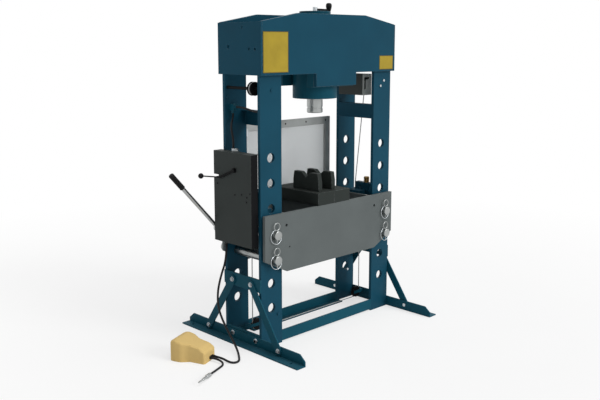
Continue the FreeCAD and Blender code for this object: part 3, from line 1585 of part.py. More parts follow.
def hood_outline(inset):
    """The side view of the hood, or the same outline set in by the wall."""
    step = s.pedalWall if inset else ZERO
    mouth = s.pedalLong + s.pedalMouthPast if inset else s.pedalLong
    low = -s.pedalMouthPast if inset else ZERO
    return [
        (step, low),
        (mouth, low),
        (mouth, s.pedalMouthHigh - step),
        (s.pedalPeakY, s.pedalPeakHigh - step),
        (s.pedalKneeY, s.pedalKneeHigh - step),
        (step, s.pedalEndHigh - step),
    ]


def hood_plan(step, rear):
    """The hood seen from above, waisted and then flared to the mouth, set in by a step."""
    half = [
        (s.pedalHalf - step, step),
        (s.pedalWaist - step, s.pedalWaistY),
        (s.pedalFlare - step, s.pedalFlareY),
        (s.pedalFlare - step, s.pedalPeakY),
        (s.pedalRearHalf - step, rear),
    ]
    return half + [(-x, y) for x, y in reversed(half)]


def hood_block(name, inset):
    """The hood's outer or inner form: what its side view and its plan share."""
    step = s.pedalWall if inset else ZERO
    rear = s.pedalLong + s.pedalMouthPast if inset else s.pedalLong
    low = -s.pedalMouthPast if inset else ZERO
    side_view = plate(name + "_side", "YZ", hood_outline(inset), -s.pedalFlare, s.pedalFlare)
    plan_view = plate(name + "_plan", "XY", hood_plan(step, rear), low, s.pedalPeakHigh)
    return common(name, [side_view, plan_view])


ports = [rod("hood_port_" + word, "Y", (sign * s.pedalPortX + s.pedalPortX, s.pedalPortZ), s.pedalPortRadius,
             ZERO, s.pedalWall) for word, sign in (("left", -1), ("right", 1))]
ports.append(box("hood_port_slot", (ZERO, 2 * s.pedalPortX), (ZERO, s.pedalWall),
                 (s.pedalPortZ - s.pedalPortRadius, s.pedalPortZ + s.pedalPortRadius)))
hood_outer = hood_block("hood_outer", False)
hood_inner = hood_block("hood_inner", True)
on_floor(cut("hood_shell", hood_outer, [hood_inner] + ports), "pedal_hood")

base_plan = hood_plan(s.pedalWall + s.pedalBaseFit, s.pedalLong)
base_plate = plate("base_plate", "XY", base_plan, ZERO, s.pedalBase)
valve_box = box("valve_box", (-s.valveBoxHalf, s.valveBoxHalf), (s.valveBoxStart, s.valveBoxEnd),
                (s.pedalBase, s.valveBoxHigh))
ears = []
for word, sign in (("left", -1), ("right", 1)):
    ear = box("ear_" + word, (sign * (s.treadleEarHalf - s.treadleEarThick), sign * s.treadleEarHalf),
              (s.treadlePinY - s.treadleHub, s.treadlePinY + s.treadleHub),
              (s.pedalBase, s.treadlePinZ + s.treadleHub))
    ears.append(ear)
pedal_axle = rod("pedal_axle", "X", (s.treadlePinY, s.treadlePinZ), s.treadlePin,
                 -s.treadleEarHalf, s.treadleEarHalf)
hose_stubs = [rod("hose_stub_" + word, "Y", (sign * s.pedalPortX + s.pedalPortX, s.pedalPortZ),
                  s.airHoseRadius, ZERO, s.valveBoxStart) for word, sign in (("left", -1), ("right", 1))]
on_floor(fuse("pedal_frame", [base_plate, valve_box, pedal_axle] + ears + hose_stubs), "pedal_base")

hub_round = rod("hub_round", "X", (s.treadlePinY, s.treadlePinZ), s.treadleHub, -s.treadleHalf, s.treadleHalf)
tread_low = s.treadlePinZ + s.treadleHub - s.treadleThick
tread_points = [
    (s.treadlePinY, tread_low),
    (s.treadleEnd, tread_low + s.treadleRise),
    (s.treadleEnd, tread_low + s.treadleRise + s.treadleThick),
    (s.treadlePinY, tread_low + s.treadleThick),
]
tread = plate("tread", "YZ", tread_points, -s.treadleHalf, s.treadleHalf)
tread_bore = rod("tread_bore", "X", (s.treadlePinY, s.treadlePinZ), s.treadlePin + s.slideFit,
                 -s.treadleHalf, s.treadleHalf)
on_floor(cut("treadle_shape", fuse("treadle_blank", [hub_round, tread]), [tread_bore]), "pedal_treadle")

# ---------------------------------------------------------------------------- air hoses
turn_angle = math.radians(SIZES["pedalTurn"])


def pedal_point(x, y):
    """A point of the pedal's own floor axes in the axes of the press."""
    far_x = x.value * math.cos(turn_angle) - y.value * math.sin(turn_angle)
    far_y = x.value * math.sin(turn_angle) + y.value * math.cos(turn_angle)
    return far_x - s.pedalX.value, far_y - s.pedalY.value


port_left = pedal_point(ZERO, ZERO)
port_right = pedal_point(2 * s.pedalPortX, ZERO)
into_left = pedal_point(ZERO, -s.portRunSupply)
into_right = pedal_point(2 * s.pedalPortX, -s.portRunPedal)
HOSE_ONE = [
    (-air_fitting_x, s.airFittingY, air_fitting_low),
    (-air_fitting_x, s.airFittingY, air_fitting_low - s.airHoseDrop),
    (-640, 136, 395),
    (-670, 132, 300),
    (-681, 112, 210),
    (-683, 62, 135),
    (-688, -15, 64),
    (-710, -92, 20),
    (-752, -160, 7),
    (-806, -226, 7),
    (-852, -206, 7),
    (into_right[0], into_right[1], SIZES["pedalPortZ"]),
    (port_right[0], port_right[1], SIZES["pedalPortZ"]),
]
HOSE_TWO = [
    (port_left[0], port_left[1], SIZES["pedalPortZ"]),
    (into_left[0], into_left[1], SIZES["pedalPortZ"]),
    (-886, -192, 7),
    (-960, -220, 7),
    (-1041, -257, 12.6),
]
node(tube("air_hose_pedal", HOSE_ONE, s.airHoseRadius))
node(tube("air_hose_supply", HOSE_TWO, s.supplyHoseRadius))

hose_end = vector(*HOSE_TWO[-1])
hose_heading = (hose_end - vector(*HOSE_TWO[-2])).normalize()
nipple_turn = FreeCAD.Rotation(FreeCAD.Vector(0, 0, 1), hose_heading)
neck_end = s.nippleLong - s.nippleTipLong
nipple_points = [
    (ZERO, ZERO),
    (s.nippleCollar, ZERO),
    (s.nippleCollar, s.nippleCollarLong),
    (s.nippleNeck, s.nippleCollarLong + s.nippleTaper),
    (s.nippleNeck, neck_end),
    (s.nippleTip, neck_end + s.nippleTaper),
    (s.nippleTip, s.nippleLong),
    (ZERO, s.nippleLong),
]
node(turned("air_nipple", nipple_points, hose_end.x, hose_end.y, hose_end.z, nipple_turn))

# ---------------------------------------------------------------------------- export
doc.recompute()
for item in doc.Objects:
    if "Invalid" in item.State or "Error" in item.State:
        raise RuntimeError("object %s did not rebuild: %s" % (item.Name, item.State))
for item in nodes:
    shape = item.Shape
    if shape.isNull() or not shape.isValid():
        raise RuntimeError("node %s has no valid shape" % item.Label)
    Part.export([item], "parts/%s.step" % item.Label)
for note in radii_notes:
    print(note)
print("%d nodes" % len(nodes))
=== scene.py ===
"""Looks of a floor-standing hydraulic workshop press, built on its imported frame.

Metres, +Z up, +X to the right seen from the front, +Y to the rear, as in the frame.
"""
import json
import math

import bmesh
import bpy
from bpy.props import FloatProperty, FloatVectorProperty, PointerProperty
from mathutils import Euler, Matrix, Vector


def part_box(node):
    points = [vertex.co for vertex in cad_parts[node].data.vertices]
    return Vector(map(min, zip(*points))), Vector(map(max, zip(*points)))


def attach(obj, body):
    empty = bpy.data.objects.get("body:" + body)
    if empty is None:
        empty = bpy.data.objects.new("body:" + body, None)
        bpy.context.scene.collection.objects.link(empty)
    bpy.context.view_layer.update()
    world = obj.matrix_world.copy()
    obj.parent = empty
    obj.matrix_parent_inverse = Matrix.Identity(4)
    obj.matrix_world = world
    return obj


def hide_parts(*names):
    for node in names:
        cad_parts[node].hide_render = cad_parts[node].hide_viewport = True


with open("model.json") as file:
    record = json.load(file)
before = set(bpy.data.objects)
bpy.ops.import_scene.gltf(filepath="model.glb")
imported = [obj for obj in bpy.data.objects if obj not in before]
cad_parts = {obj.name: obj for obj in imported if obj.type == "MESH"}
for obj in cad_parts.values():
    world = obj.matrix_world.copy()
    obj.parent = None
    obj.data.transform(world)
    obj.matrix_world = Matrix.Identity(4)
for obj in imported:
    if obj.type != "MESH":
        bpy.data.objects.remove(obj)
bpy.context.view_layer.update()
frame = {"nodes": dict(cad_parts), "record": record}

bl_info = {
    "name": "Workshop Press",
    "version": (1, 0, 0),
    "blender": (4, 5, 0),
    "location": "View3D > Sidebar > Press",
    "description": "Builds the visible pieces of a hydraulic workshop press on its packed frame",
    "category": "Object",
}

RECORD = frame["record"]
SLOT_OF = {row["node"]: row["material_slot"] for row in RECORD["subparts"]}
BODY_OF = {node: body for body, nodes in RECORD["behaviour"]["bodies"].items() for node in nodes}
FRAME_BODY = "press_frame"
MERGE = 1e-5
FACE_NEAR = 0.001
FLAT = math.radians(0.5)
SHARP = math.radians(35)
FULL_TURN = 2 * math.pi
UP = (0, 0, 1)
FORWARDS = (0, -1, 0)
WHITE = (1, 1, 1, 1)


# ---------------------------------------------------------------------------- settings
def linear(value):
    """A colour channel of 0 to 255 on the screen as the light that it stands for."""
    value /= 255
    return value / 12.92 if value <= 0.04045 else ((value + 0.055) / 1.055) ** 2.4


def colour(name, description, *channels):
    """A colour setting whose default is given in screen values."""
    return FloatVectorProperty(
        name=name, description=description, subtype="COLOR", size=3, min=0, max=1,
        default=[linear(channel) for channel in channels])


def length(name, description, default):
    """A length setting in metres."""
    return FloatProperty(name=name, description=description, default=default, min=0,
                         unit="LENGTH", precision=4)


class PressColours(bpy.types.PropertyGroup):
    """Colours of the paints, metals and plastics."""
    frame_paint: colour("Frame paint", "Uprights, head and yokes", 22, 69, 88)
    dark_paint: colour("Base paint", "Feet, braces, base bars and cylinder", 19, 76, 93)
    bed_paint: colour("Bed paint", "Side plates and webs of the bed", 96, 102, 102)
    block_iron: colour("Block iron", "Bars and V-blocks on the bed", 47, 52, 50)
    cover_paint: colour("Pump cover paint", "Cover and body of the pump unit", 57, 62, 61)
    case_paint: colour("Reel housing paint", "Housing of the rope reel", 72, 76, 74)
    # The reel housing's front is a lighter copy of the housing's grey: painted light on its front face.
    case_front: colour("Reel housing front", "Slotted front of the reel housing", 178, 182, 178)
    black_paint: colour("Black paint", "Crank, drum, pulleys and valve lever", 16, 17, 19)
    black_plastic: colour("Black plastic", "Knobs and grips", 18, 18, 19)
    hose_rubber: colour("Hose rubber", "Air and oil hoses", 31, 31, 33)
    zinc: colour("Zinc plate", "Bolts, screws and fittings", 196, 201, 204)
    ground_steel: colour("Ground steel", "Ram and draw pins", 168, 171, 170)
    brass: colour("Brass", "Rope adjuster", 142, 116, 72)
    rope_steel: colour("Rope steel", "Wire ropes of the bed lift", 176, 178, 178)
    guard_metal: colour("Guard metal", "Frame of the guard", 167, 170, 169)
    guard_pane: colour("Guard pane", "Clear sheet of the guard", 214, 217, 218)
    lever_chrome: colour("Lever chrome", "Tube of the pump lever", 168, 170, 170)
    nipple_metal: colour("Nipple metal", "Air coupling on the supply hose", 176, 178, 178)
    label_film: colour("Label film", "Bare plates on the head", 163, 141, 46)
    label_edge: colour("Label edge", "Printed border of the plates", 110, 94, 34)
    pedal_paint: colour("Pedal paint", "Hood of the foot pedal", 216, 186, 122)
    pedal_base: colour("Pedal base", "Base and treadle of the foot pedal", 78, 78, 76)
    bare_steel: colour("Bare steel", "Steel that shows where paint is rubbed", 138, 142, 144)
    dust: colour("Dust", "Dust on upward faces", 150, 148, 140)


class PressSizes(bpy.types.PropertyGroup):
    """Sizes of the pieces that the frame leaves open."""
    hose_radius: length("Pedal hose radius", "Hose from the pump unit to the pedal", 0.0065)
    supply_radius: length("Supply hose radius", "Hose from the pedal to the coupling", 0.006)
    hood_round: length("Hood corner", "Outer radius along the pedal hood's edges", 0.013)
    cover_fold: length("Cover fold", "Outer radius along the pump cover's folds", 0.0025)
    washer_radius: length("Washer radius", "Washers under the frame bolts", 0.0145)
    washer_height: length("Washer thickness", "Washers under the frame bolts", 0.002)
    weld_radius: length("Weld radius", "Weld beads between the plates", 0.0045)
    label_border: length("Label border", "Width of the printed border of the plates", 0.004)
    wear: FloatProperty(name="Wear", description="How much paint is rubbed off the edges",
                        default=0.30, min=0, max=1, subtype="FACTOR")
    dust: FloatProperty(name="Dust", description="How much dust lies on upward faces",
                        default=0.06, min=0, max=1, subtype="FACTOR")


class PressStage(bpy.types.PropertyGroup):
    """Light, floor and camera."""
    key_power: FloatProperty(name="Key light", description="Strength of the light from the front",
                             default=1.22, min=0)
    top_power: FloatProperty(name="Top light", description="Strength of the light from above",
                             default=1.35, min=0)
    sky_power: FloatProperty(name="Room light", description="Strength of the light all round",
                             default=0.38, min=0)
    floor_white: colour("Floor", "Colour of the pale floor", 245, 245, 245)
    lens: FloatProperty(name="Lens", description="Focal length of the camera in millimetres",
                        default=47.695, min=1, unit="CAMERA")


def settings():
    """The three groups of settings of the scene."""
    scene = bpy.context.scene
    return scene.press_colours, scene.press_sizes, scene.press_stage


def require(condition, message):
    """Stop the script with a message where a step can't be done."""
    if not condition:
        raise RuntimeError(message)


# ---------------------------------------------------------------------------- node wiring
class Wires:
    """Adds nodes to a tree and joins them."""

    def __init__(self, tree):
        self.tree = tree

    def add(self, kind, **options):
        """Add a node and set its options."""
        node = self.tree.nodes.new(kind)
        for option, value in options.items():
            setattr(node, option, value)
        return node

    def feed(self, socket, value):
        """Give a socket a constant, or join it to another node's output."""
        if isinstance(value, bpy.types.NodeSocket):
            self.tree.links.new(value, socket)
        else:
            socket.default_value = value

    def places(self):
        """Points in the object's own axes."""
        return self.add("ShaderNodeTexCoord").outputs["Object"]

    def stretched(self, vector, scale):
        """Points stretched by a scale along each axis."""
        mapping = self.add("ShaderNodeMapping")
        self.feed(mapping.inputs["Vector"], vector)
        self.feed(mapping.inputs["Scale"], scale)
        return mapping.outputs["Vector"]

    def noise(self, vector, scale, detail=2.0, roughness=0.5):
        """Cloudy noise from 0 to 1."""
        node = self.add("ShaderNodeTexNoise")
        self.feed(node.inputs["Vector"], vector)
        self.feed(node.inputs["Scale"], scale)
        self.feed(node.inputs["Detail"], detail)
        self.feed(node.inputs["Roughness"], roughness)
        return node.outputs["Fac"]

    def spread(self, value, low, high, to_low=0.0, to_high=1.0):
        """Map a range of a value to another range, clamped."""
        node = self.add("ShaderNodeMapRange")
        for socket, given in zip(node.inputs, (value, low, high, to_low, to_high)):
            self.feed(socket, given)
        return node.outputs["Result"]

    def math(self, operation, first, second=0.0):
        """One sum, product or other operation on two values."""
        node = self.add("ShaderNodeMath", operation=operation)
        self.feed(node.inputs[0], first)
        self.feed(node.inputs[1], second)
        return node.outputs["Value"]

    def mix(self, factor, first, second):
        """Mix two colours."""
        node = self.add("ShaderNodeMix", data_type="RGBA")
        self.feed(node.inputs["Factor"], factor)
        colours = [socket for socket in node.inputs if socket.type == "RGBA"]
        for socket, given in zip(colours, (first, second)):
            self.feed(socket, given)
        return next(socket for socket in node.outputs if socket.type == "RGBA")

    def bump(self, height, strength, distance):
        """A normal that follows a height."""
        node = self.add("ShaderNodeBump")
        self.feed(node.inputs["Height"], height)
        self.feed(node.inputs["Strength"], strength)
        self.feed(node.inputs["Distance"], distance)
        return node.outputs["Normal"]

    def effect(self, name, **given):
        """Place a shared effect with its own values, and give back its output."""
        node = self.add("ShaderNodeGroup", node_tree=bpy.data.node_groups[name])
        for word, value in given.items():
            self.feed(node.inputs[word], value)
        return node.outputs[0]


def shared_effect(name, inputs, output, build):
    """Make a node group with named inputs and one output."""
    tree = bpy.data.node_groups.new(name, "ShaderNodeTree")
    for word, default in inputs.items():
        kind = "NodeSocketVector" if isinstance(default, tuple) else "NodeSocketFloat"
        socket = tree.interface.new_socket(word, in_out="INPUT", socket_type=kind)
        socket.default_value = default
    tree.interface.new_socket(output, in_out="OUTPUT", socket_type="NodeSocketFloat")
    wires = Wires(tree)
    given = wires.add("NodeGroupInput").outputs
    wires.feed(wires.add("NodeGroupOutput").inputs[0], build(wires, given))


def mottle(wires, given):
    """Slow drift of tone over a surface."""
    cloud = wires.noise(wires.places(), given["Scale"], 3)
    return wires.spread(cloud, 0.3, 0.7)


def edge_wear(wires, given):
    """Rubbed patches along the edges that the piece's own attribute marks."""
    flakes = wires.spread(wires.noise(wires.places(), given["Scale"], 4, 0.65), 0.44, 0.66)
    return wires.math("MULTIPLY", wires.math("MULTIPLY", given["Edge"], flakes), given["Amount"])


def settled_dust(wires, given):
    """Thin dust on faces that look up."""
    facing = wires.add("ShaderNodeSeparateXYZ")
    wires.feed(facing.inputs[0], wires.add("ShaderNodeNewGeometry").outputs["Normal"])
    level = wires.spread(facing.outputs["Z"], 0.6, 1.0)
    cloud = wires.spread(wires.noise(wires.places(), given["Scale"], 4), 0.25, 0.75, 0.35, 1.0)
    return wires.math("MULTIPLY", wires.math("MULTIPLY", level, cloud), given["Amount"])


def paint_skin(wires, given):
    """The fine pebbled skin of sprayed paint."""
    places = wires.places()
    fine = wires.noise(places, given["Scale"], 1)
    broad = wires.noise(places, wires.math("MULTIPLY", given["Scale"], 0.12), 1)
    return wires.math("ADD", fine, wires.math("MULTIPLY", broad, 1.5))


def tool_grain(wires, given):
    """Fine lines that a grinding or brushing tool leaves along one direction."""
    lines = wires.stretched(wires.places(), given["Stretch"])
    return wires.noise(lines, given["Scale"], 3, 0.6)


def make_effects():
    """Build the effects that more than one finish uses."""
    shared_effect("press_mottle", {"Scale": 5.0}, "Mask", mottle)
    shared_effect("press_wear", {"Edge": 0.0, "Amount": 0.3, "Scale": 60.0}, "Mask", edge_wear)
    shared_effect("press_dust", {"Amount": 0.1, "Scale": 9.0}, "Mask", settled_dust)
    shared_effect("press_skin", {"Scale": 420.0}, "Height", paint_skin)
    shared_effect("press_grain", {"Stretch": (1.0, 1.0, 1.0), "Scale": 300.0}, "Height", tool_grain)


# ---------------------------------------------------------------------------- finishes
PAINT_SHEEN = 0.06
MOULDED_SHEEN = 0.15
PAINT_DEPTH = 0.0006
MOULDED_DEPTH = 0.0005
MARK_DEPTH = 0.0004
RUBBED_METAL = 0.7
DUST_DULLING = 0.5


def tone(base, amount):
    """A colour made lighter or darker."""
    return [min(1.0, channel * amount) for channel in base] + [1.0]


def new_finish(name):
    """An empty material with its wires and its shader."""
    material = bpy.data.materials.new(name)
    material.use_nodes = True
    wires = Wires(material.node_tree)
    return material, wires, material.node_tree.nodes["Principled BSDF"]


def painted(name, base, roughness=0.42, peel=0.16, wear=1.0, dust=1.0):
    """Sprayed paint on steel: drift of tone, skin, rubbed edges and dust."""
    colours, sizes, _ = settings()
    material, wires, shader = new_finish(name)
    drift = wires.effect("press_mottle", Scale=4.0)
    skin_tone = wires.mix(drift, tone(base, 0.93), tone(base, 1.07))
    edge = wires.add("ShaderNodeAttribute", attribute_name="edge").outputs["Fac"]
    rubbed = wires.effect("press_wear", Edge=edge, Amount=sizes.wear * wear, Scale=70.0)
    with_steel = wires.mix(rubbed, skin_tone, tone(colours.bare_steel, 1))
    dusty = wires.effect("press_dust", Amount=sizes.dust * dust, Scale=8.0)
    wires.feed(shader.inputs["Base Color"], wires.mix(dusty, with_steel, tone(colours.dust, 1)))
    uneven = wires.spread(drift, 0, 1, roughness - 0.05, roughness + 0.06)
    dulled = wires.math("MULTIPLY", dusty, DUST_DULLING)
    wires.feed(shader.inputs["Roughness"], wires.math("ADD", uneven, dulled))
    wires.feed(shader.inputs["Metallic"], wires.math("MULTIPLY", rubbed, RUBBED_METAL))
    shader.inputs["Specular IOR Level"].default_value = PAINT_SHEEN
    skin = wires.effect("press_skin", Scale=420.0)
    wires.feed(shader.inputs["Normal"], wires.bump(skin, peel, PAINT_DEPTH))
    return material


def bare_metal(name, base, roughness, stretch, grain=0.12, scale=300.0, metallic=1.0, stain=0.9):
    """Bare or plated metal with tool marks along one direction and a faint stain."""
    material, wires, shader = new_finish(name)
    marks = wires.effect("press_grain", Stretch=stretch, Scale=scale)
    drift = wires.effect("press_mottle", Scale=14.0)
    wires.feed(shader.inputs["Base Color"], wires.mix(drift, tone(base, stain), tone(base, 1.04)))
    uneven = wires.spread(marks, 0.2, 0.8, roughness - 0.07, roughness + 0.1)
    wires.feed(shader.inputs["Roughness"], uneven)
    shader.inputs["Metallic"].default_value = metallic
    wires.feed(shader.inputs["Normal"], wires.bump(marks, grain, MARK_DEPTH))
    return material


def moulded(name, base, roughness, grain=0.2, scale=900.0, dust=0.6):
    """Moulded plastic or rubber with a fine leather-like grain."""
    colours, sizes, _ = settings()
    material, wires, shader = new_finish(name)
    drift = wires.effect("press_mottle", Scale=12.0)
    body = wires.mix(drift, tone(base, 0.9), tone(base, 1.12))
    dusty = wires.effect("press_dust", Amount=sizes.dust * dust, Scale=14.0)
    wires.feed(shader.inputs["Base Color"], wires.mix(dusty, body, tone(colours.dust, 1)))
    uneven = wires.spread(drift, 0, 1, roughness - 0.05, roughness + 0.07)
    wires.feed(shader.inputs["Roughness"], uneven)
    shader.inputs["Specular IOR Level"].default_value = MOULDED_SHEEN
    skin = wires.effect("press_skin", Scale=scale)
    wires.feed(shader.inputs["Normal"], wires.bump(skin, grain, MOULDED_DEPTH))
    return material


def stranded(name, base):
    """Twisted wire: slanted bright and dark lines along a rope, the dark lines painted shade in the
    grooves between the strands.
    """
    material, wires, shader = new_finish(name)
    wave = wires.add("ShaderNodeTexWave", bands_direction="DIAGONAL")
    wires.feed(wave.inputs["Vector"], wires.places())
    wires.feed(wave.inputs["Scale"], 90.0)
    wires.feed(wave.inputs["Distortion"], 0.4)
    twist_and_groove_shade = wave.outputs["Fac"]
    # The dark end of the mix is painted shade in the grooves between the strands.
    wires.feed(shader.inputs["Base Color"], wires.mix(twist_and_groove_shade, tone(base, 0.5), tone(base, 1.1)))
    wires.feed(shader.inputs["Roughness"], wires.spread(twist_and_groove_shade, 0, 1, 0.55, 0.38))
    shader.inputs["Metallic"].default_value = 0.85
    wires.feed(shader.inputs["Normal"], wires.bump(twist_and_groove_shade, 0.5, PAINT_DEPTH))
    return material


def clear_sheet(name, base):
    """Clear sheet with a faint haze and fine wiping marks."""
    material, wires, shader = new_finish(name)
    marks = wires.effect("press_grain", Stretch=(1.0, 1.0, 0.15), Scale=60.0)
    haze = wires.effect("press_mottle", Scale=3.0)
    wires.feed(shader.inputs["Base Color"], wires.mix(haze, tone(base, 0.95), tone(base, 1.04)))
    wires.feed(shader.inputs["Roughness"], wires.spread(marks, 0.2, 0.8, 0.12, 0.26))
    shader.inputs["Transmission Weight"].default_value = 0.55
    shader.inputs["IOR"].default_value = 1.3
    wires.feed(shader.inputs["Normal"], wires.bump(marks, 0.03, MARK_DEPTH))
    return material


# Each slot's maker, its colour among the settings, and its options.
FINISHES = {
    "frame_paint": (painted, "frame_paint", {}),
    "dark_paint": (painted, "dark_paint", dict(roughness=0.4)),
    "bed_paint": (painted, "bed_paint", dict(roughness=0.46, peel=0.2)),
    "block_iron": (painted, "block_iron", dict(roughness=0.5, peel=0.35, wear=1.3, dust=0.6)),
    "cover_grey": (painted, "cover_paint", dict(roughness=0.45, peel=0.35, wear=0.5)),
    "case_grey": (painted, "case_paint", dict(roughness=0.45, peel=0.3, wear=0.5)),
    # The reel housing's front: a lighter copy of its grey, painted light on the front face.
    "case_front": (painted, "case_front", dict(roughness=0.45, peel=0.3, wear=0.5)),
    "black_metal": (painted, "black_paint", dict(roughness=0.4, peel=0.2, wear=0.9, dust=0.5)),
    "pedal_yellow": (painted, "pedal_paint", dict(roughness=0.5, peel=0.4, wear=0.25, dust=0.4)),
    "pedal_grey": (painted, "pedal_base", dict(roughness=0.5, peel=0.4, wear=0.7)),
    "label_film": (moulded, "label_film", dict(roughness=0.42, grain=0.04, scale=200.0, dust=0.5)),
    "label_edge": (moulded, "label_edge", dict(roughness=0.45, grain=0.04, scale=200.0, dust=0.5)),
    "black_plastic": (moulded, "black_plastic", dict(roughness=0.42)),
    "hose_rubber": (moulded, "hose_rubber", dict(roughness=0.48, grain=0.3, scale=700.0)),
    "zinc_steel": (bare_metal, "zinc", dict(
        roughness=0.36, stretch=(1.0, 1.0, 1.0), grain=0.1, scale=500.0)),
    "ground_steel": (bare_metal, "ground_steel", dict(
        roughness=0.3, stretch=(0.1, 1.0, 1.0), grain=0.1, scale=500.0)),
    "brass_metal": (bare_metal, "brass", dict(
        roughness=0.38, stretch=(1.0, 1.0, 0.2), grain=0.12, scale=400.0)),
    "guard_alu": (bare_metal, "guard_metal", dict(
        roughness=0.42, stretch=(0.05, 1.0, 1.0), grain=0.1, scale=500.0, metallic=0.55)),
    "lever_chrome": (bare_metal, "lever_chrome", dict(
        roughness=0.2, stretch=(1.0, 1.0, 1.0), grain=0.03, scale=200.0)),
    "nipple_steel": (bare_metal, "nipple_metal", dict(
        roughness=0.3, stretch=(1.0, 1.0, 0.2), grain=0.06, scale=400.0, metallic=0.6)),
    "wire_rope": (stranded, "rope_steel", {}),
    "pane_plastic": (clear_sheet, "guard_pane", {}),
}


def finish(slot):
    """The material of a slot of the record, made when it is first asked for."""
    name = "press_" + slot
    found = bpy.data.materials.get(name)
    if found:
        return found
    require(slot in FINISHES, "no finish for the slot " + slot)
    maker, shade, options = FINISHES[slot]
    colours, _, _ = settings()
    return maker(name, getattr(colours, shade), **options)


# ---------------------------------------------------------------------------- making pieces
def cad_shape(node):
    """A merged copy of a CAD node's mesh with its flat faces joined."""
    shape = bmesh.new()
    shape.from_mesh(frame["nodes"][node].data)
    bmesh.ops.remove_doubles(shape, verts=shape.verts, dist=MERGE)
    bmesh.ops.dissolve_limit(shape, angle_limit=FLAT, verts=shape.verts, edges=shape.edges)
    return shape


def sharp_edges(shape, angle=SHARP):
    """The edges of a closed shape where its faces meet at more than an angle."""
    return [edge for edge in shape.edges
            if len(edge.link_faces) == 2 and edge.calc_face_angle(0) > angle]


def soften(shape, edges, width, segments=2):
    """Round some edges, and mark the new faces as edge in the shape's own attribute."""
    layer = shape.loops.layers.float.get("edge") or shape.loops.layers.float.new("edge")
    made = bmesh.ops.bevel(shape, geom=edges, offset=width, offset_type="OFFSET", affect="EDGES",
                           segments=segments, profile=0.5, material=-1, clamp_overlap=True)
    for face in made["faces"]:
        for loop in face.loops:
            loop[layer] = 1.0


def unmark(shape):
    """Take the mark of an edge off all faces, for a cast piece whose paint isn't rubbed there."""
    layer = shape.loops.layers.float["edge"]
    for face in shape.faces:
        for loop in face.loops:
            loop[layer] = 0.0


def add_piece(name, data, slot, body, stands_for):
    """Put a mesh or curve in the scene: its finish, its body, and the CAD nodes it stands for."""
    data.materials.append(finish(slot))
    thing = bpy.data.objects.new(name, data)
    bpy.context.scene.collection.objects.link(thing)
    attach(thing, body)
    if stands_for:
        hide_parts(*stands_for)
    return thing


def piece(name, shape, slot, body=FRAME_BODY, stands_for=()):
    """Make a finished piece of a shape, smooth but for its sharp edges."""
    mesh = bpy.data.meshes.new(name)
    shape.to_mesh(mesh)
    shape.free()
    require(len(mesh.polygons) > 0, name + " has no faces")
    for polygon in mesh.polygons:
        polygon.use_smooth = True
    mesh.set_sharp_from_angle(angle=SHARP)
    thing = add_piece(name, mesh, slot, body, stands_for)
    thing.modifiers.new("even_normals", "WEIGHTED_NORMAL").keep_sharp = True
    return thing


def dress(node, width, segments=2):
    """Stand a copy of a CAD node, with its sharp edges rounded, for the node."""
    shape = cad_shape(node)
    soften(shape, sharp_edges(shape), width, segments)
    return piece("finished_" + node, shape, SLOT_OF[node], BODY_OF[node], [node])


def refinish(thing, slot, chosen):
    """Give another finish to the faces of a piece whose centres are chosen."""
    thing.data.materials.append(finish(slot))
    found = [polygon for polygon in thing.data.polygons if chosen(polygon.center)]
    require(found, thing.name + " has no faces there")
    for polygon in found:
        polygon.material_index = len(thing.data.materials) - 1


def dress_all(widths):
    """Round the edges of several CAD nodes, each by its own width."""
    for node, width in widths.items():
        dress(node, width)


def stand(shape, centre, direction):
    """Turn a shape that stands along +Z to a direction, and move it to a centre."""
    turn = Vector(direction).to_track_quat("Z", "Y").to_matrix().to_4x4()
    bmesh.ops.transform(shape, matrix=Matrix.Translation(centre) @ turn, verts=shape.verts)


def turn_round(shape, steps):
    """Spin an outline a full turn about +Z into a closed shape that faces outwards."""
    bmesh.ops.spin(shape, geom=shape.verts[:] + shape.edges[:], cent=(0, 0, 0), axis=UP,
                   angle=FULL_TURN, steps=steps, use_merge=True)
    bmesh.ops.remove_doubles(shape, verts=shape.verts, dist=MERGE)
    bmesh.ops.recalc_face_normals(shape, faces=shape.faces)


def spun(profile, centre, direction, steps=40):
    """Turn a profile of (radius, height) points round an axis through a centre."""
    shape = bmesh.new()
    corners = [shape.verts.new((radius, 0, height)) for radius, height in profile]
    for pair in zip(corners, corners[1:]):
        shape.edges.new(pair)
    turn_round(shape, steps)
    stand(shape, centre, direction)
    return shape


def hoop(ring_radius, wire_radius, centre, direction):
    """A ring of round wire about an axis."""
    shape = bmesh.new()
    wire = bmesh.ops.create_circle(shape, radius=wire_radius, segments=10)["verts"]
    upright = Matrix.Translation((ring_radius, 0, 0)) @ Matrix.Rotation(math.pi / 2, 4, "X")
    bmesh.ops.transform(shape, matrix=upright, verts=wire)
    turn_round(shape, 56)
    stand(shape, centre, direction)
    return shape


def stepped(radius, start, offsets):
    """Points of a profile, given as (depth below a radius, distance past a start)."""
    return [(radius - depth, start + reach) for depth, reach in offsets]


BOLT_RADIUS = 0.012
BOLT_TALL = 0.008
BOLT_CHAMFER = 0.09
WASHER_HOLE = 0.5


def bolt_head(radius, tall, centre, direction):
    """A hexagon head with its top corners turned off, on a plain washer."""
    shape = bmesh.new()
    bmesh.ops.create_cone(shape, cap_ends=True, segments=6, radius1=radius, radius2=radius, depth=tall)
    tops = [edge for edge in shape.edges if all(vertex.co.z > 0 for vertex in edge.verts)]
    bmesh.ops.bevel(shape, geom=tops, offset=radius * BOLT_CHAMFER, affect="EDGES", segments=2,
                    profile=0.5, material=-1)
    bmesh.ops.transform(shape, matrix=Matrix.Translation((0, 0, tall / 2)), verts=shape.verts)
    stand(shape, centre, direction)
    _, sizes, _ = settings()
    thick = sizes.washer_height
    rim = sizes.washer_radius * radius / BOLT_RADIUS
    hole = radius * WASHER_HOLE
    washer = [(hole, 0), (rim, 0), (rim, thick * 0.7), (rim - thick * 0.3, thick), (hole, thick)]
    add_shape(shape, spun(washer, centre, direction))
    return shape


BEAD_PITCH = 1.6
BEAD_RIPPLE = 0.12


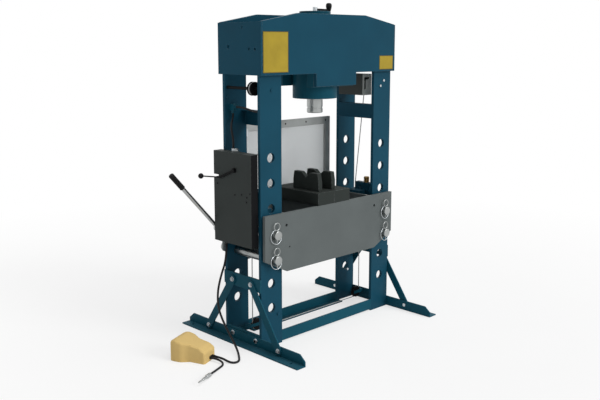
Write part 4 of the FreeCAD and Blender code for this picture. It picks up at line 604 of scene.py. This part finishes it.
def bead(start, end, radius):
    """A rippled weld bead from one point to another."""
    way = Vector(end) - Vector(start)
    count = max(4, round(way.length / (radius * BEAD_PITCH)))
    profile = [(0.0, 0.0)]
    for index in range(1, 2 * count):
        swell = 1.0 - BEAD_RIPPLE * (index % 2)
        profile.append((radius * swell, way.length * index / (2 * count)))
    profile.append((0.0, way.length))
    return spun(profile, start, way, steps=10)


def add_shape(shape, other):
    """Move one shape's faces into another."""
    passing = bpy.data.meshes.new("passing")
    other.to_mesh(passing)
    other.free()
    shape.from_mesh(passing)
    bpy.data.meshes.remove(passing)


def show(node):
    """Give a CAD node that keeps its own shape its finish."""
    thing = frame["nodes"][node]
    thing.data.materials.clear()
    thing.data.materials.append(finish(SLOT_OF[node]))


def hose(name, points, radius, stands_for):
    """A flexible hose: a smooth curve over its route's points, with a round section."""
    curve = bpy.data.curves.new(name, "CURVE")
    curve.dimensions = "3D"
    curve.resolution_u = 16
    curve.bevel_depth = radius
    curve.bevel_resolution = 6
    curve.use_fill_caps = True
    route = curve.splines.new("NURBS")
    route.points.add(len(points) - 1)
    for point, place in zip(route.points, points):
        point.co = (*place, 1.0)
    route.order_u = 3
    route.use_endpoint_u = True
    return add_piece(name, curve, "hose_rubber", FRAME_BODY, stands_for)


# ---------------------------------------------------------------------------- stage
CAMERA_PLACE = (-3.5699, -3.5058, 1.7874)
CAMERA_TILT = 80.964
CAMERA_TURN = -44.714
CAMERA_SHIFT = (0.0, -0.05)
SENSOR = 36.0
CLIP_FAR = 200.0
# Each lamp's name, its setting, its spread in degrees and where its light goes.
LAMPS = (
    ("key_light", "key_power", 25, (-0.30, 0.86, -0.42)),
    ("top_light", "top_power", 50, (-0.15, 0.25, -1.0)),
)
FLOOR_SIZE = 80.0
FLOOR_ROUGHNESS = 0.9
FLOOR_SHEEN = 0.1
# Near the press the floor glows by FADE_START of full white, and from FADE_FAR on by all of it.
FADE_NEAR = 1.6
FADE_FAR = 4.5
FADE_START = 0.62


def seen_rays(wires):
    """1 where a ray shows a thing itself: to the camera, in a reflection or through glass."""
    path = wires.add("ShaderNodeLightPath").outputs
    straight = wires.math("MAXIMUM", path["Is Camera Ray"], path["Is Transmission Ray"])
    return wires.math("MAXIMUM", straight, path["Is Glossy Ray"])


class PRESS_OT_stage(bpy.types.Operator):
    """Set the camera, the lamps, the room light and the pale floor"""
    bl_idname = "press.stage"
    bl_label = "Stage"

    def execute(self, context):
        _, _, stage = settings()
        scene = context.scene
        scene.view_settings.view_transform = "Standard"
        lens = bpy.data.cameras.new("press_camera")
        lens.lens = stage.lens
        lens.sensor_width = SENSOR
        lens.shift_x, lens.shift_y = CAMERA_SHIFT
        lens.clip_end = CLIP_FAR
        camera = bpy.data.objects.new("press_camera", lens)
        camera.location = CAMERA_PLACE
        camera.rotation_euler = Euler((math.radians(CAMERA_TILT), 0, math.radians(CAMERA_TURN)))
        scene.collection.objects.link(camera)
        scene.camera = camera

        for name, power, spread, heading in LAMPS:
            lamp = bpy.data.lights.new(name, "SUN")
            lamp.energy = getattr(stage, power)
            lamp.angle = math.radians(spread)
            shown = bpy.data.objects.new(name, lamp)
            shown.rotation_euler = (-Vector(heading)).to_track_quat("Z", "Y").to_euler()
            scene.collection.objects.link(shown)

        world = bpy.data.worlds.new("press_room")
        world.use_nodes = True
        scene.world = world
        wires = Wires(world.node_tree)
        sky = world.node_tree.nodes["Background"]
        sky.inputs["Color"].default_value = WHITE
        strength = wires.spread(seen_rays(wires), 0, 1, stage.sky_power, 1.0)
        wires.feed(sky.inputs["Strength"], strength)

        shape = bmesh.new()
        bmesh.ops.create_grid(shape, x_segments=1, y_segments=1, size=FLOOR_SIZE)
        mesh = bpy.data.meshes.new("floor")
        shape.to_mesh(mesh)
        shape.free()
        mesh.materials.append(self.floor_finish(stage.floor_white))
        floor = bpy.data.objects.new("floor", mesh)
        scene.collection.objects.link(floor)
        return {"FINISHED"}

    @staticmethod
    def floor_finish(base):
        """A pale floor that keeps the shadow near the press and fades to white around it."""
        material, wires, shader = new_finish("press_floor")
        grain = wires.effect("press_mottle", Scale=2.0)
        wires.feed(shader.inputs["Base Color"], wires.mix(grain, tone(base, 0.985), tone(base, 1.0)))
        shader.inputs["Roughness"].default_value = FLOOR_ROUGHNESS
        shader.inputs["Specular IOR Level"].default_value = FLOOR_SHEEN
        away = wires.add("ShaderNodeVectorMath", operation="LENGTH")
        wires.feed(away.inputs[0], wires.places())
        fade = wires.spread(away.outputs["Value"], FADE_NEAR, FADE_FAR, FADE_START, 1.0)
        shown = wires.math("MULTIPLY", fade, seen_rays(wires))
        glow = wires.add("ShaderNodeEmission")
        glow.inputs["Color"].default_value = WHITE
        blend = wires.add("ShaderNodeMixShader")
        wires.feed(blend.inputs[0], shown)
        wires.feed(blend.inputs[1], shader.outputs[0])
        wires.feed(blend.inputs[2], glow.outputs[0])
        output = material.node_tree.nodes["Material Output"]
        wires.feed(output.inputs["Surface"], blend.outputs[0])
        return material


# ---------------------------------------------------------------------------- hoses
# Control points of the two hoses, from where each leaves its housing to its far end.
PEDAL_ROUTE = [
    (-0.606, 0.118, 0.600),
    (-0.606, 0.118, 0.505),
    (-0.640, 0.136, 0.395),
    (-0.670, 0.132, 0.300),
    (-0.681, 0.112, 0.210),
    (-0.683, 0.062, 0.135),
    (-0.688, -0.015, 0.064),
    (-0.710, -0.092, 0.020),
    (-0.752, -0.160, 0.007),
    (-0.806, -0.226, 0.007),
    (-0.852, -0.206, 0.007),
    (-0.85843, -0.12436, 0.020),
    (-0.87948, -0.07355, 0.020),
]
SUPPLY_ROUTE = [
    (-0.9035, -0.0835, 0.020),
    (-0.88360, -0.13154, 0.020),
    (-0.886, -0.192, 0.007),
    (-0.960, -0.220, 0.007),
    (-1.041, -0.257, 0.0126),
]
COUPLING_PROFILE = [
    (0.0062, -0.004), (0.0092, -0.003), (0.0112, 0.0), (0.0118, 0.003), (0.0118, 0.012),
    (0.0108, 0.0132), (0.0108, 0.0150), (0.0118, 0.0162), (0.0118, 0.0265), (0.0108, 0.0277),
    (0.0108, 0.0295), (0.0118, 0.0307), (0.0116, 0.0390), (0.0098, 0.0430), (0.0080, 0.0470),
    (0.0078, 0.0800), (0.0066, 0.0860), (0.0048, 0.0880), (0.0048, 0.0990), (0.0036, 0.1005),
    (0.0036, 0.1035), (0.0048, 0.1050), (0.0048, 0.1270), (0.0036, 0.1310), (0.0, 0.1315),
]
# A sleeve starts just inside its hose's skin and stands a wall above it. After a plain foot its
# ribs follow one another by a step and taper to the tip. Offsets are for stepped().
SLEEVE_INSIDE = 0.0005
SLEEVE_WALL = 0.0028
SLEEVE_TAPER = 0.0016
SLEEVE_FOOT = 0.003
SLEEVE_STEP = 0.004
SLEEVE_RIBS = 4
SLEEVE_RIB = ((0.0, 0.0), (0.0009, 0.0008), (0.0009, 0.0026), (0.0, 0.0034))
SLEEVE_TIP = ((-0.0008, 0.0), (-0.0004, 0.004), (SLEEVE_INSIDE, 0.004))


class PRESS_OT_hoses(bpy.types.Operator):
    """Lay the two air hoses of the pedal and put the coupling on the supply hose"""
    bl_idname = "press.hoses"
    bl_label = "Air hoses"

    def execute(self, context):
        _, sizes, _ = settings()
        pedal = hose("pedal_hose", PEDAL_ROUTE, sizes.hose_radius, ["air_hose_pedal"])
        supply = hose("supply_hose", SUPPLY_ROUTE, sizes.supply_radius, ["air_hose_supply"])
        heading = (Vector(SUPPLY_ROUTE[-1]) - Vector(SUPPLY_ROUTE[-2])).normalized()
        nipple = piece("air_coupling", spun(COUPLING_PROFILE, SUPPLY_ROUTE[-1], heading),
                       "nipple_steel", FRAME_BODY, ["air_nipple"])
        self.sleeve("pump_sleeve", PEDAL_ROUTE[0], PEDAL_ROUTE[1], sizes.hose_radius)
        self.sleeve("pedal_sleeve", PEDAL_ROUTE[-1], PEDAL_ROUTE[-2], sizes.hose_radius)
        self.sleeve("supply_sleeve", SUPPLY_ROUTE[0], SUPPLY_ROUTE[1], sizes.supply_radius)
        return {"FINISHED"}

    @staticmethod
    def sleeve(name, start, towards, radius):
        """A tapered, ribbed sleeve that keeps a hose from kinking where it leaves a housing."""
        profile = [(radius - SLEEVE_INSIDE, 0), (radius + SLEEVE_WALL, 0)]
        for index in range(SLEEVE_RIBS):
            crest = radius + SLEEVE_WALL - SLEEVE_TAPER * index / SLEEVE_RIBS
            profile += stepped(crest, SLEEVE_FOOT + index * SLEEVE_STEP, SLEEVE_RIB)
        profile += stepped(radius, SLEEVE_FOOT + SLEEVE_RIBS * SLEEVE_STEP, SLEEVE_TIP)
        way = Vector(towards) - Vector(start)
        piece(name, spun(profile, start, way, steps=28), "black_plastic")


# ---------------------------------------------------------------------------- frame
class PRESS_OT_frame(bpy.types.Operator):
    """Finish the uprights, the feet, the braces and the bars between them"""
    bl_idname = "press.frame"
    bl_label = "Frame"

    def execute(self, context):
        dress_all({
            "upright_front_left": 0.0018,
            "upright_front_right": 0.0018,
            "upright_rear_left": 0.0018,
            "upright_rear_right": 0.0018,
            "upper_cross_members": 0.0010,
            "lower_cross_bars": 0.0012,
            "base_bars": 0.0012,
            "foot_left": 0.0012,
            "foot_right": 0.0012,
            "braces": 0.0012,
        })
        return {"FINISHED"}


class PRESS_OT_head(bpy.types.Operator):
    """Finish the head's plates, webs and bearing blocks"""
    bl_idname = "press.head"
    bl_label = "Head"

    def execute(self, context):
        dress_all({
            "head_front_plate": 0.0020,
            "head_rear_plate": 0.0020,
            "head_end_plates": 0.0012,
            "head_webs": 0.0015,
            "bearing_blocks": 0.0018,
        })
        return {"FINISHED"}


# The cylinder's axis in X, the crank's hub round it and the knob on the crank, then the bolts on
# the seat plate: the height they stand on, the radius of their ring, and their number and size.
CYLINDER_LINE = 0.032
HUB_REACH = 0.0145
KNOB_PLACE = (0.157, 0, 1.975)
KNOB_PROFILE = [
    (0, 0), (0.0095, 0), (0.0110, 0.0015), (0.0115, 0.012), (0.0140, 0.022), (0.0172, 0.034),
    (0.0188, 0.044), (0.0188, 0.052), (0.0168, 0.059), (0.0120, 0.0635), (0.0060, 0.0648), (0, 0.065),
]
SEAT_TOP = 1.940
CAP_RING = 0.118
CAP_BOLTS = 8
CAP_BOLT_RADIUS = 0.010
CAP_BOLT_TALL = 0.008


class PRESS_OT_cylinder(bpy.types.Operator):
    """Finish the cylinder, its cap and gland, the ram and the crank"""
    bl_idname = "press.cylinder"
    bl_label = "Cylinder and ram"

    def execute(self, context):
        dress_all({
            "cylinder_barrel": 0.0030,
            "cylinder_gland": 0.0008,
            "cylinder_cap": 0.0025,
            "ram": 0.0008,
        })
        crank = dress("crank", 0.0012)
        refinish(crank, "zinc_steel", self.on_hub)
        piece("turned_knob", spun(KNOB_PROFILE, KNOB_PLACE, UP, steps=48), "black_plastic",
              BODY_OF["crank_knob"], ["crank_knob"])
        bolts = bmesh.new()
        for index in range(CAP_BOLTS):
            turn = FULL_TURN * (index + 0.5) / CAP_BOLTS
            place = (CYLINDER_LINE + CAP_RING * math.cos(turn), CAP_RING * math.sin(turn), SEAT_TOP)
            add_shape(bolts, bolt_head(CAP_BOLT_RADIUS, CAP_BOLT_TALL, place, UP))
        piece("cap_bolts", bolts, "zinc_steel")
        return {"FINISHED"}

    @staticmethod
    def on_hub(centre):
        """Whether a face of the crank belongs to its hub."""
        return math.hypot(centre.x - CYLINDER_LINE, centre.y) < HUB_REACH


# ---------------------------------------------------------------------------- bed
class PRESS_OT_bed(bpy.types.Operator):
    """Finish the bed, its support bars and the V-blocks"""
    bl_idname = "press.bed"
    bl_label = "Bed"

    def execute(self, context):
        dress_all({
            "bed_front_plate": 0.0018,
            "bed_rear_plate": 0.0018,
            "bed_webs": 0.0015,
            "support_bars": 0.0022,
            "v_blocks": 0.0022,
        })
        return {"FINISHED"}


# The pins' X on both sides and their heights, then the hoops: the radius of the ring and of its
# wire, its Y, how far it hangs below the pin, and how it leans and twists.
PIN_LINE = 0.4965
PIN_LEVELS = {"low": 0.5353, "high": 0.6853}
HOOP_RADIUS = 0.040
HOOP_WIRE = 0.002
HOOP_FACE = -0.205
HOOP_HANG = 0.0125
HOOP_LEAN = 0.12
HOOP_TWIST = 0.05


class PRESS_OT_pins(bpy.types.Operator):
    """Finish the draw pins and their ring clips, and hang a wire hoop on each"""
    bl_idname = "press.pins"
    bl_label = "Draw pins"

    def execute(self, context):
        for level, height in PIN_LEVELS.items():
            for side, sign in (("left", -1), ("right", 1)):
                name = "bed_pin_%s_%s" % (level, side)
                dress(name, 0.0006)
                centre = (sign * PIN_LINE, HOOP_FACE, height - HOOP_HANG)
                lean = (HOOP_TWIST * sign, -1.0, HOOP_LEAN)
                piece("hoop_%s_%s" % (level, side), hoop(HOOP_RADIUS, HOOP_WIRE, centre, lean),
                      "zinc_steel", BODY_OF[name])
        return {"FINISHED"}


class PRESS_OT_lift(bpy.types.Operator):
    """Finish the bed lift: yokes, drum, reel, pulleys, ropes and the reel housing"""
    bl_idname = "press.lift"
    bl_label = "Bed lift"

    def execute(self, context):
        dress_all({
            "lift_yokes": 0.0015,
            "lift_sheaves": 0.0008,
            "lift_shafts": 0.0008,
            "pulley_forks": 0.0006,
            "rope_adjuster": 0.0008,
        })
        case = dress("rope_case", 0.0020)
        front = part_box("rope_case")[0][1] + FACE_NEAR
        # The housing's front faces take the lighter copy of its grey, painted light falling on the
        # front.
        refinish(case, "case_front", lambda centre: centre.y < front)
        show("lift_ropes")
        return {"FINISHED"}


# The guard's front face in Y, the heights of its rails, and the row of rivets along each.
GUARD_FRONT = 0.226
GUARD_RAILS = (0.847, 1.272)
GUARD_LEFT = -0.385
GUARD_RIGHT = 0.370
GUARD_RIVETS = 5
RIVET_PROFILE = [
    (0, -0.001), (0.006, -0.001), (0.006, 0.0006), (0.0045, 0.0022), (0.0022, 0.0029), (0, 0.0030),
]


class PRESS_OT_guard(bpy.types.Operator):
    """Finish the guard's frame, its clear sheet and its brackets"""
    bl_idname = "press.guard"
    bl_label = "Guard"

    def execute(self, context):
        dress_all({"guard_frame": 0.0020, "guard_brackets": 0.0012})
        show("guard_pane")
        rivets = bmesh.new()
        for height in GUARD_RAILS:
            for index in range(GUARD_RIVETS):
                x = GUARD_LEFT + (GUARD_RIGHT - GUARD_LEFT) * index / (GUARD_RIVETS - 1)
                place = (x, GUARD_FRONT, height)
                add_shape(rivets, spun(RIVET_PROFILE, place, FORWARDS, steps=20))
        piece("guard_rivets", rivets, "black_metal")
        return {"FINISHED"}


# ---------------------------------------------------------------------------- pump unit
# Where the pump lever turns, the radius of its tube, and the size of its grip.
LEVER_PIVOT = (-0.600, 0.204, 0.679)
LEVER_TUBE = 0.0126
GRIP_RADIUS = 0.0165
GRIP_LONG = 0.120
# A collar, ribs that follow one another by a step, and a domed end, as offsets for stepped().
GRIP_COLLAR = ((0.0015, 0), (0, 0.0015), (0, 0.008))
GRIP_START = 0.012
GRIP_STEP = 0.006
GRIP_RIBS = 15
GRIP_RIB = ((0.0016, 0), (0.0016, 0.002), (0.0002, 0.003), (0.0002, 0.005))
GRIP_DOME = ((0, -0.012), (0, -0.006), (0.0020, -0.002), (0.0060, 0), (GRIP_RADIUS, 0))
# Pivots above VALVE_LOW belong to the valve lever. Before COVER_FRONT the cover's front is black:
# painted shade for its dark, shaded front.
VALVE_LOW = 0.9
COVER_FRONT = -0.1515


class PRESS_OT_pump(bpy.types.Operator):
    """Finish the pump unit's cover, body, screws, pump lever and valve lever"""
    bl_idname = "press.pump"
    bl_label = "Pump unit"

    def execute(self, context):
        _, sizes, _ = settings()
        cover = dress("pump_cover", sizes.cover_fold, 3)
        # The cover's front faces take black paint as painted shade.
        refinish(cover, "black_metal", lambda centre: centre.y < COVER_FRONT)
        dress_all({
            "pump_body": 0.0012,
            "cover_screws": 0.0008,
            "pump_lever": 0.0012,
            "valve_lever": 0.0008,
            "valve_knob": 0.0005,
        })
        pivots = dress("lever_pivots", 0.0008)
        refinish(pivots, "black_metal", lambda centre: centre.z > VALVE_LOW)
        low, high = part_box("pump_grip")
        middle = (Vector(low) + Vector(high)) / 2
        way = (middle - Vector(LEVER_PIVOT)).normalized()
        grip = spun(self.grip_profile(), middle - way * GRIP_LONG / 2, way)
        piece("ribbed_grip", grip, "black_plastic", BODY_OF["pump_grip"], ["pump_grip"])
        return {"FINISHED"}

    @staticmethod
    def grip_profile():
        """The moulded grip's outline, from the tube to the middle of its domed end."""
        profile = [(LEVER_TUBE, 0)] + stepped(GRIP_RADIUS, 0, GRIP_COLLAR)
        for index in range(GRIP_RIBS):
            profile += stepped(GRIP_RADIUS, GRIP_START + index * GRIP_STEP, GRIP_RIB)
        return profile + stepped(GRIP_RADIUS, GRIP_LONG, GRIP_DOME)


class PRESS_OT_oil_lines(bpy.types.Operator):
    """Finish the oil fittings and the thin oil hoses"""
    bl_idname = "press.oil_lines"
    bl_label = "Oil lines"

    def execute(self, context):
        dress_all({"oil_fittings": 0.0008, "oil_manifold": 0.0010, "oil_hoses": 0.0003})
        return {"FINISHED"}


# ---------------------------------------------------------------------------- pedal
# Where the pedal stands and how it is turned, the least bend of an edge that is rounded, and the
# hood's wall, length, rim height and hose port.
PEDAL_PLACE = (-0.9035, -0.0835, 0.0)
PEDAL_TURN = math.radians(22.5)
HOOD_BEND = math.radians(12)
HOOD_WALL = 0.004
HOOD_LONG = 0.210
HOOD_RIM = 0.02
PORT_HIGH = 0.032


class PRESS_OT_pedal(bpy.types.Operator):
    """Finish the foot pedal: its rounded hood, base and treadle"""
    bl_idname = "press.pedal"
    bl_label = "Foot pedal"

    def execute(self, context):
        _, sizes, _ = settings()
        shape = cad_shape("pedal_hood")
        to_pedal = (Matrix.Translation(PEDAL_PLACE) @ Matrix.Rotation(PEDAL_TURN, 4, "Z")).inverted()
        self.round_hood(shape, to_pedal, sizes.hood_round)
        piece("pedal_hood_cast", shape, "pedal_yellow", FRAME_BODY, ["pedal_hood"])
        dress("pedal_base", 0.0010)
        dress("pedal_treadle", 0.0012)
        return {"FINISHED"}

    @staticmethod
    def round_hood(shape, to_pedal, radius):
        """Round the hood's upright and upper edges, outside and inside, and leave its rims alone."""
        outer, inner = [], []
        for edge in sharp_edges(shape, HOOD_BEND):
            ends = [to_pedal @ vertex.co for vertex in edge.verts]
            top = max(point.z for point in ends)
            middle = (ends[0] + ends[1]) / 2
            rim = top < HOOD_RIM or min(point.y for point in ends) > HOOD_LONG - FACE_NEAR
            port = top < PORT_HIGH and middle.y < HOOD_WALL + FACE_NEAR
            if rim or port:
                continue
            first, second = edge.link_faces
            across = second.calc_center_median() - first.calc_center_median()
            (outer if across.dot(first.normal) < 0 else inner).append(edge)
        require(outer and inner, "the pedal hood has no edges to round")
        soften(shape, outer, radius, 5)
        soften(shape, [edge for edge in inner if edge.is_valid], radius - HOOD_WALL, 4)
        unmark(shape)


# ---------------------------------------------------------------------------- fasteners, plates
# How far out in X the heads of each group sit, with their (Y, Z), then the (X, Z) of the small
# heads that were painted with the frame.
BRACE_FACE = 0.596
TIE_FACE = 0.588
BRACE_BOLTS = ((-0.086, 0.382), (0.081, 0.382), (-0.322, 0.038), (0.317, 0.034))
TIE_BOLTS = ((-0.120, 0.042), (0.089, 0.042))
PAINTED_BOLTS = ((-0.491, 1.524), (-0.448, 0.188), (-0.560, 1.475))
NEAR_BOLT = 0.016


class PRESS_OT_fasteners(bpy.types.Operator):
    """Finish the bolts of the frame and set chamfered heads on washers over the brace bolts"""
    bl_idname = "press.fasteners"
    bl_label = "Bolts"

    def execute(self, context):
        bolts = dress("frame_bolts", 0.0010)
        refinish(bolts, "frame_paint", self.painted_over)
        heads = bmesh.new()
        for side in (-1, 1):
            for face, places in ((BRACE_FACE, BRACE_BOLTS), (TIE_FACE, TIE_BOLTS)):
                for y, z in places:
                    place = (side * face, y, z)
                    add_shape(heads, bolt_head(BOLT_RADIUS, BOLT_TALL, place, (side, 0, 0)))
        piece("bolt_heads", heads, "zinc_steel")
        return {"FINISHED"}

    @staticmethod
    def painted_over(centre):
        """Whether a face belongs to one of the small heads that were painted with the frame."""
        return any(abs(centre.x - x) < NEAR_BOLT and abs(centre.z - z) < NEAR_BOLT
                   for x, z in PAINTED_BOLTS)


# Beads under the head on the uprights' outer faces, beside the ties, and in the bed's corners.
HEAD_BEAD_INNER = 0.413
HEAD_BEAD_OUTER = 0.580
HEAD_BEAD_LEVEL = 1.610
POST_FACE = 0.164
TIE_BEAD_X = 0.421
TIE_BEAD_LOW = 1.310
TIE_BEAD_HIGH = 1.382
TIE_BEAD_SIZE = 0.7
POST_BACK = 0.144
BED_WEBS = (-0.400, -0.380, -0.110, -0.090, 0.090, 0.110, 0.380, 0.400)
BED_INNER = 0.176
BED_BEAD_LOW = 0.475
BED_BEAD_HIGH = 0.791
BED_BEAD_SIZE = 0.9


class PRESS_OT_welds(bpy.types.Operator):
    """Run weld beads under the head, up the ties and up the bed webs"""
    bl_idname = "press.welds"
    bl_label = "Weld beads"

    def execute(self, context):
        _, sizes, _ = settings()
        radius = sizes.weld_radius
        frame_beads = bmesh.new()
        for side in (-1, 1):
            for end in (-1, 1):
                add_shape(frame_beads, bead((side * HEAD_BEAD_INNER, end * POST_FACE, HEAD_BEAD_LEVEL),
                                            (side * HEAD_BEAD_OUTER, end * POST_FACE, HEAD_BEAD_LEVEL),
                                            radius))
                add_shape(frame_beads, bead((side * TIE_BEAD_X, end * POST_BACK, TIE_BEAD_LOW),
                                            (side * TIE_BEAD_X, end * POST_BACK, TIE_BEAD_HIGH),
                                            radius * TIE_BEAD_SIZE))
        piece("frame_welds", frame_beads, "frame_paint")
        bed_beads = bmesh.new()
        for web in BED_WEBS:
            for end in (-1, 1):
                add_shape(bed_beads, bead((web, end * BED_INNER, BED_BEAD_LOW),
                                          (web, end * BED_INNER, BED_BEAD_HIGH),
                                          radius * BED_BEAD_SIZE))
        piece("bed_welds", bed_beads, "bed_paint")
        return {"FINISHED"}


FRONT_NORMAL = -0.9


class PRESS_OT_plates(bpy.types.Operator):
    """Finish the bare plates on the head with a printed border"""
    bl_idname = "press.plates"
    bl_label = "Bare plates"

    def execute(self, context):
        _, sizes, _ = settings()
        shape = cad_shape("head_labels")
        fronts = [face for face in shape.faces if face.normal.y < FRONT_NORMAL]
        require(len(fronts) == 2, "the plates on the head have no front faces")
        rims = bmesh.ops.inset_individual(shape, faces=fronts, thickness=sizes.label_border,
                                          use_even_offset=True)["faces"]
        for face in rims:
            face.material_index = 1
        plates = piece("bare_plates", shape, "label_film", FRAME_BODY, ["head_labels"])
        plates.data.materials.append(finish("label_edge"))
        return {"FINISHED"}


# ---------------------------------------------------------------------------- panel and order
STEPS = (
    PRESS_OT_stage,
    PRESS_OT_hoses,
    PRESS_OT_frame,
    PRESS_OT_head,
    PRESS_OT_cylinder,
    PRESS_OT_bed,
    PRESS_OT_pins,
    PRESS_OT_lift,
    PRESS_OT_guard,
    PRESS_OT_pump,
    PRESS_OT_oil_lines,
    PRESS_OT_pedal,
    PRESS_OT_fasteners,
    PRESS_OT_welds,
    PRESS_OT_plates,
)


class PRESS_PT_panel(bpy.types.Panel):
    """Settings and steps of the workshop press"""
    bl_idname = "PRESS_PT_panel"
    bl_label = "Workshop Press"
    bl_space_type = "VIEW_3D"
    bl_region_type = "UI"
    bl_category = "Press"

    def draw(self, context):
        layout = self.layout
        for group in (context.scene.press_sizes, context.scene.press_colours, context.scene.press_stage):
            box = layout.box()
            for name in group.__annotations__:
                box.prop(group, name)
        for step in STEPS:
            layout.operator(step.bl_idname)


GROUPS = {"press_colours": PressColours, "press_sizes": PressSizes, "press_stage": PressStage}


def register():
    """Register the settings, the steps and the panel."""
    for name, group in GROUPS.items():
        bpy.utils.register_class(group)
        setattr(bpy.types.Scene, name, PointerProperty(type=group))
    for step in STEPS + (PRESS_PT_panel,):
        bpy.utils.register_class(step)


def unregister():
    """Take the panel, the steps and the settings away again."""
    for step in reversed(STEPS + (PRESS_PT_panel,)):
        bpy.utils.unregister_class(step)
    for name, group in reversed(list(GROUPS.items())):
        delattr(bpy.types.Scene, name)
        bpy.utils.unregister_class(group)


def main():
    """Build every piece in order."""
    register()
    make_effects()
    for step in STEPS:
        family, word = step.bl_idname.split(".")
        getattr(getattr(bpy.ops, family), word)()


if __name__ == "__main__":
    main()
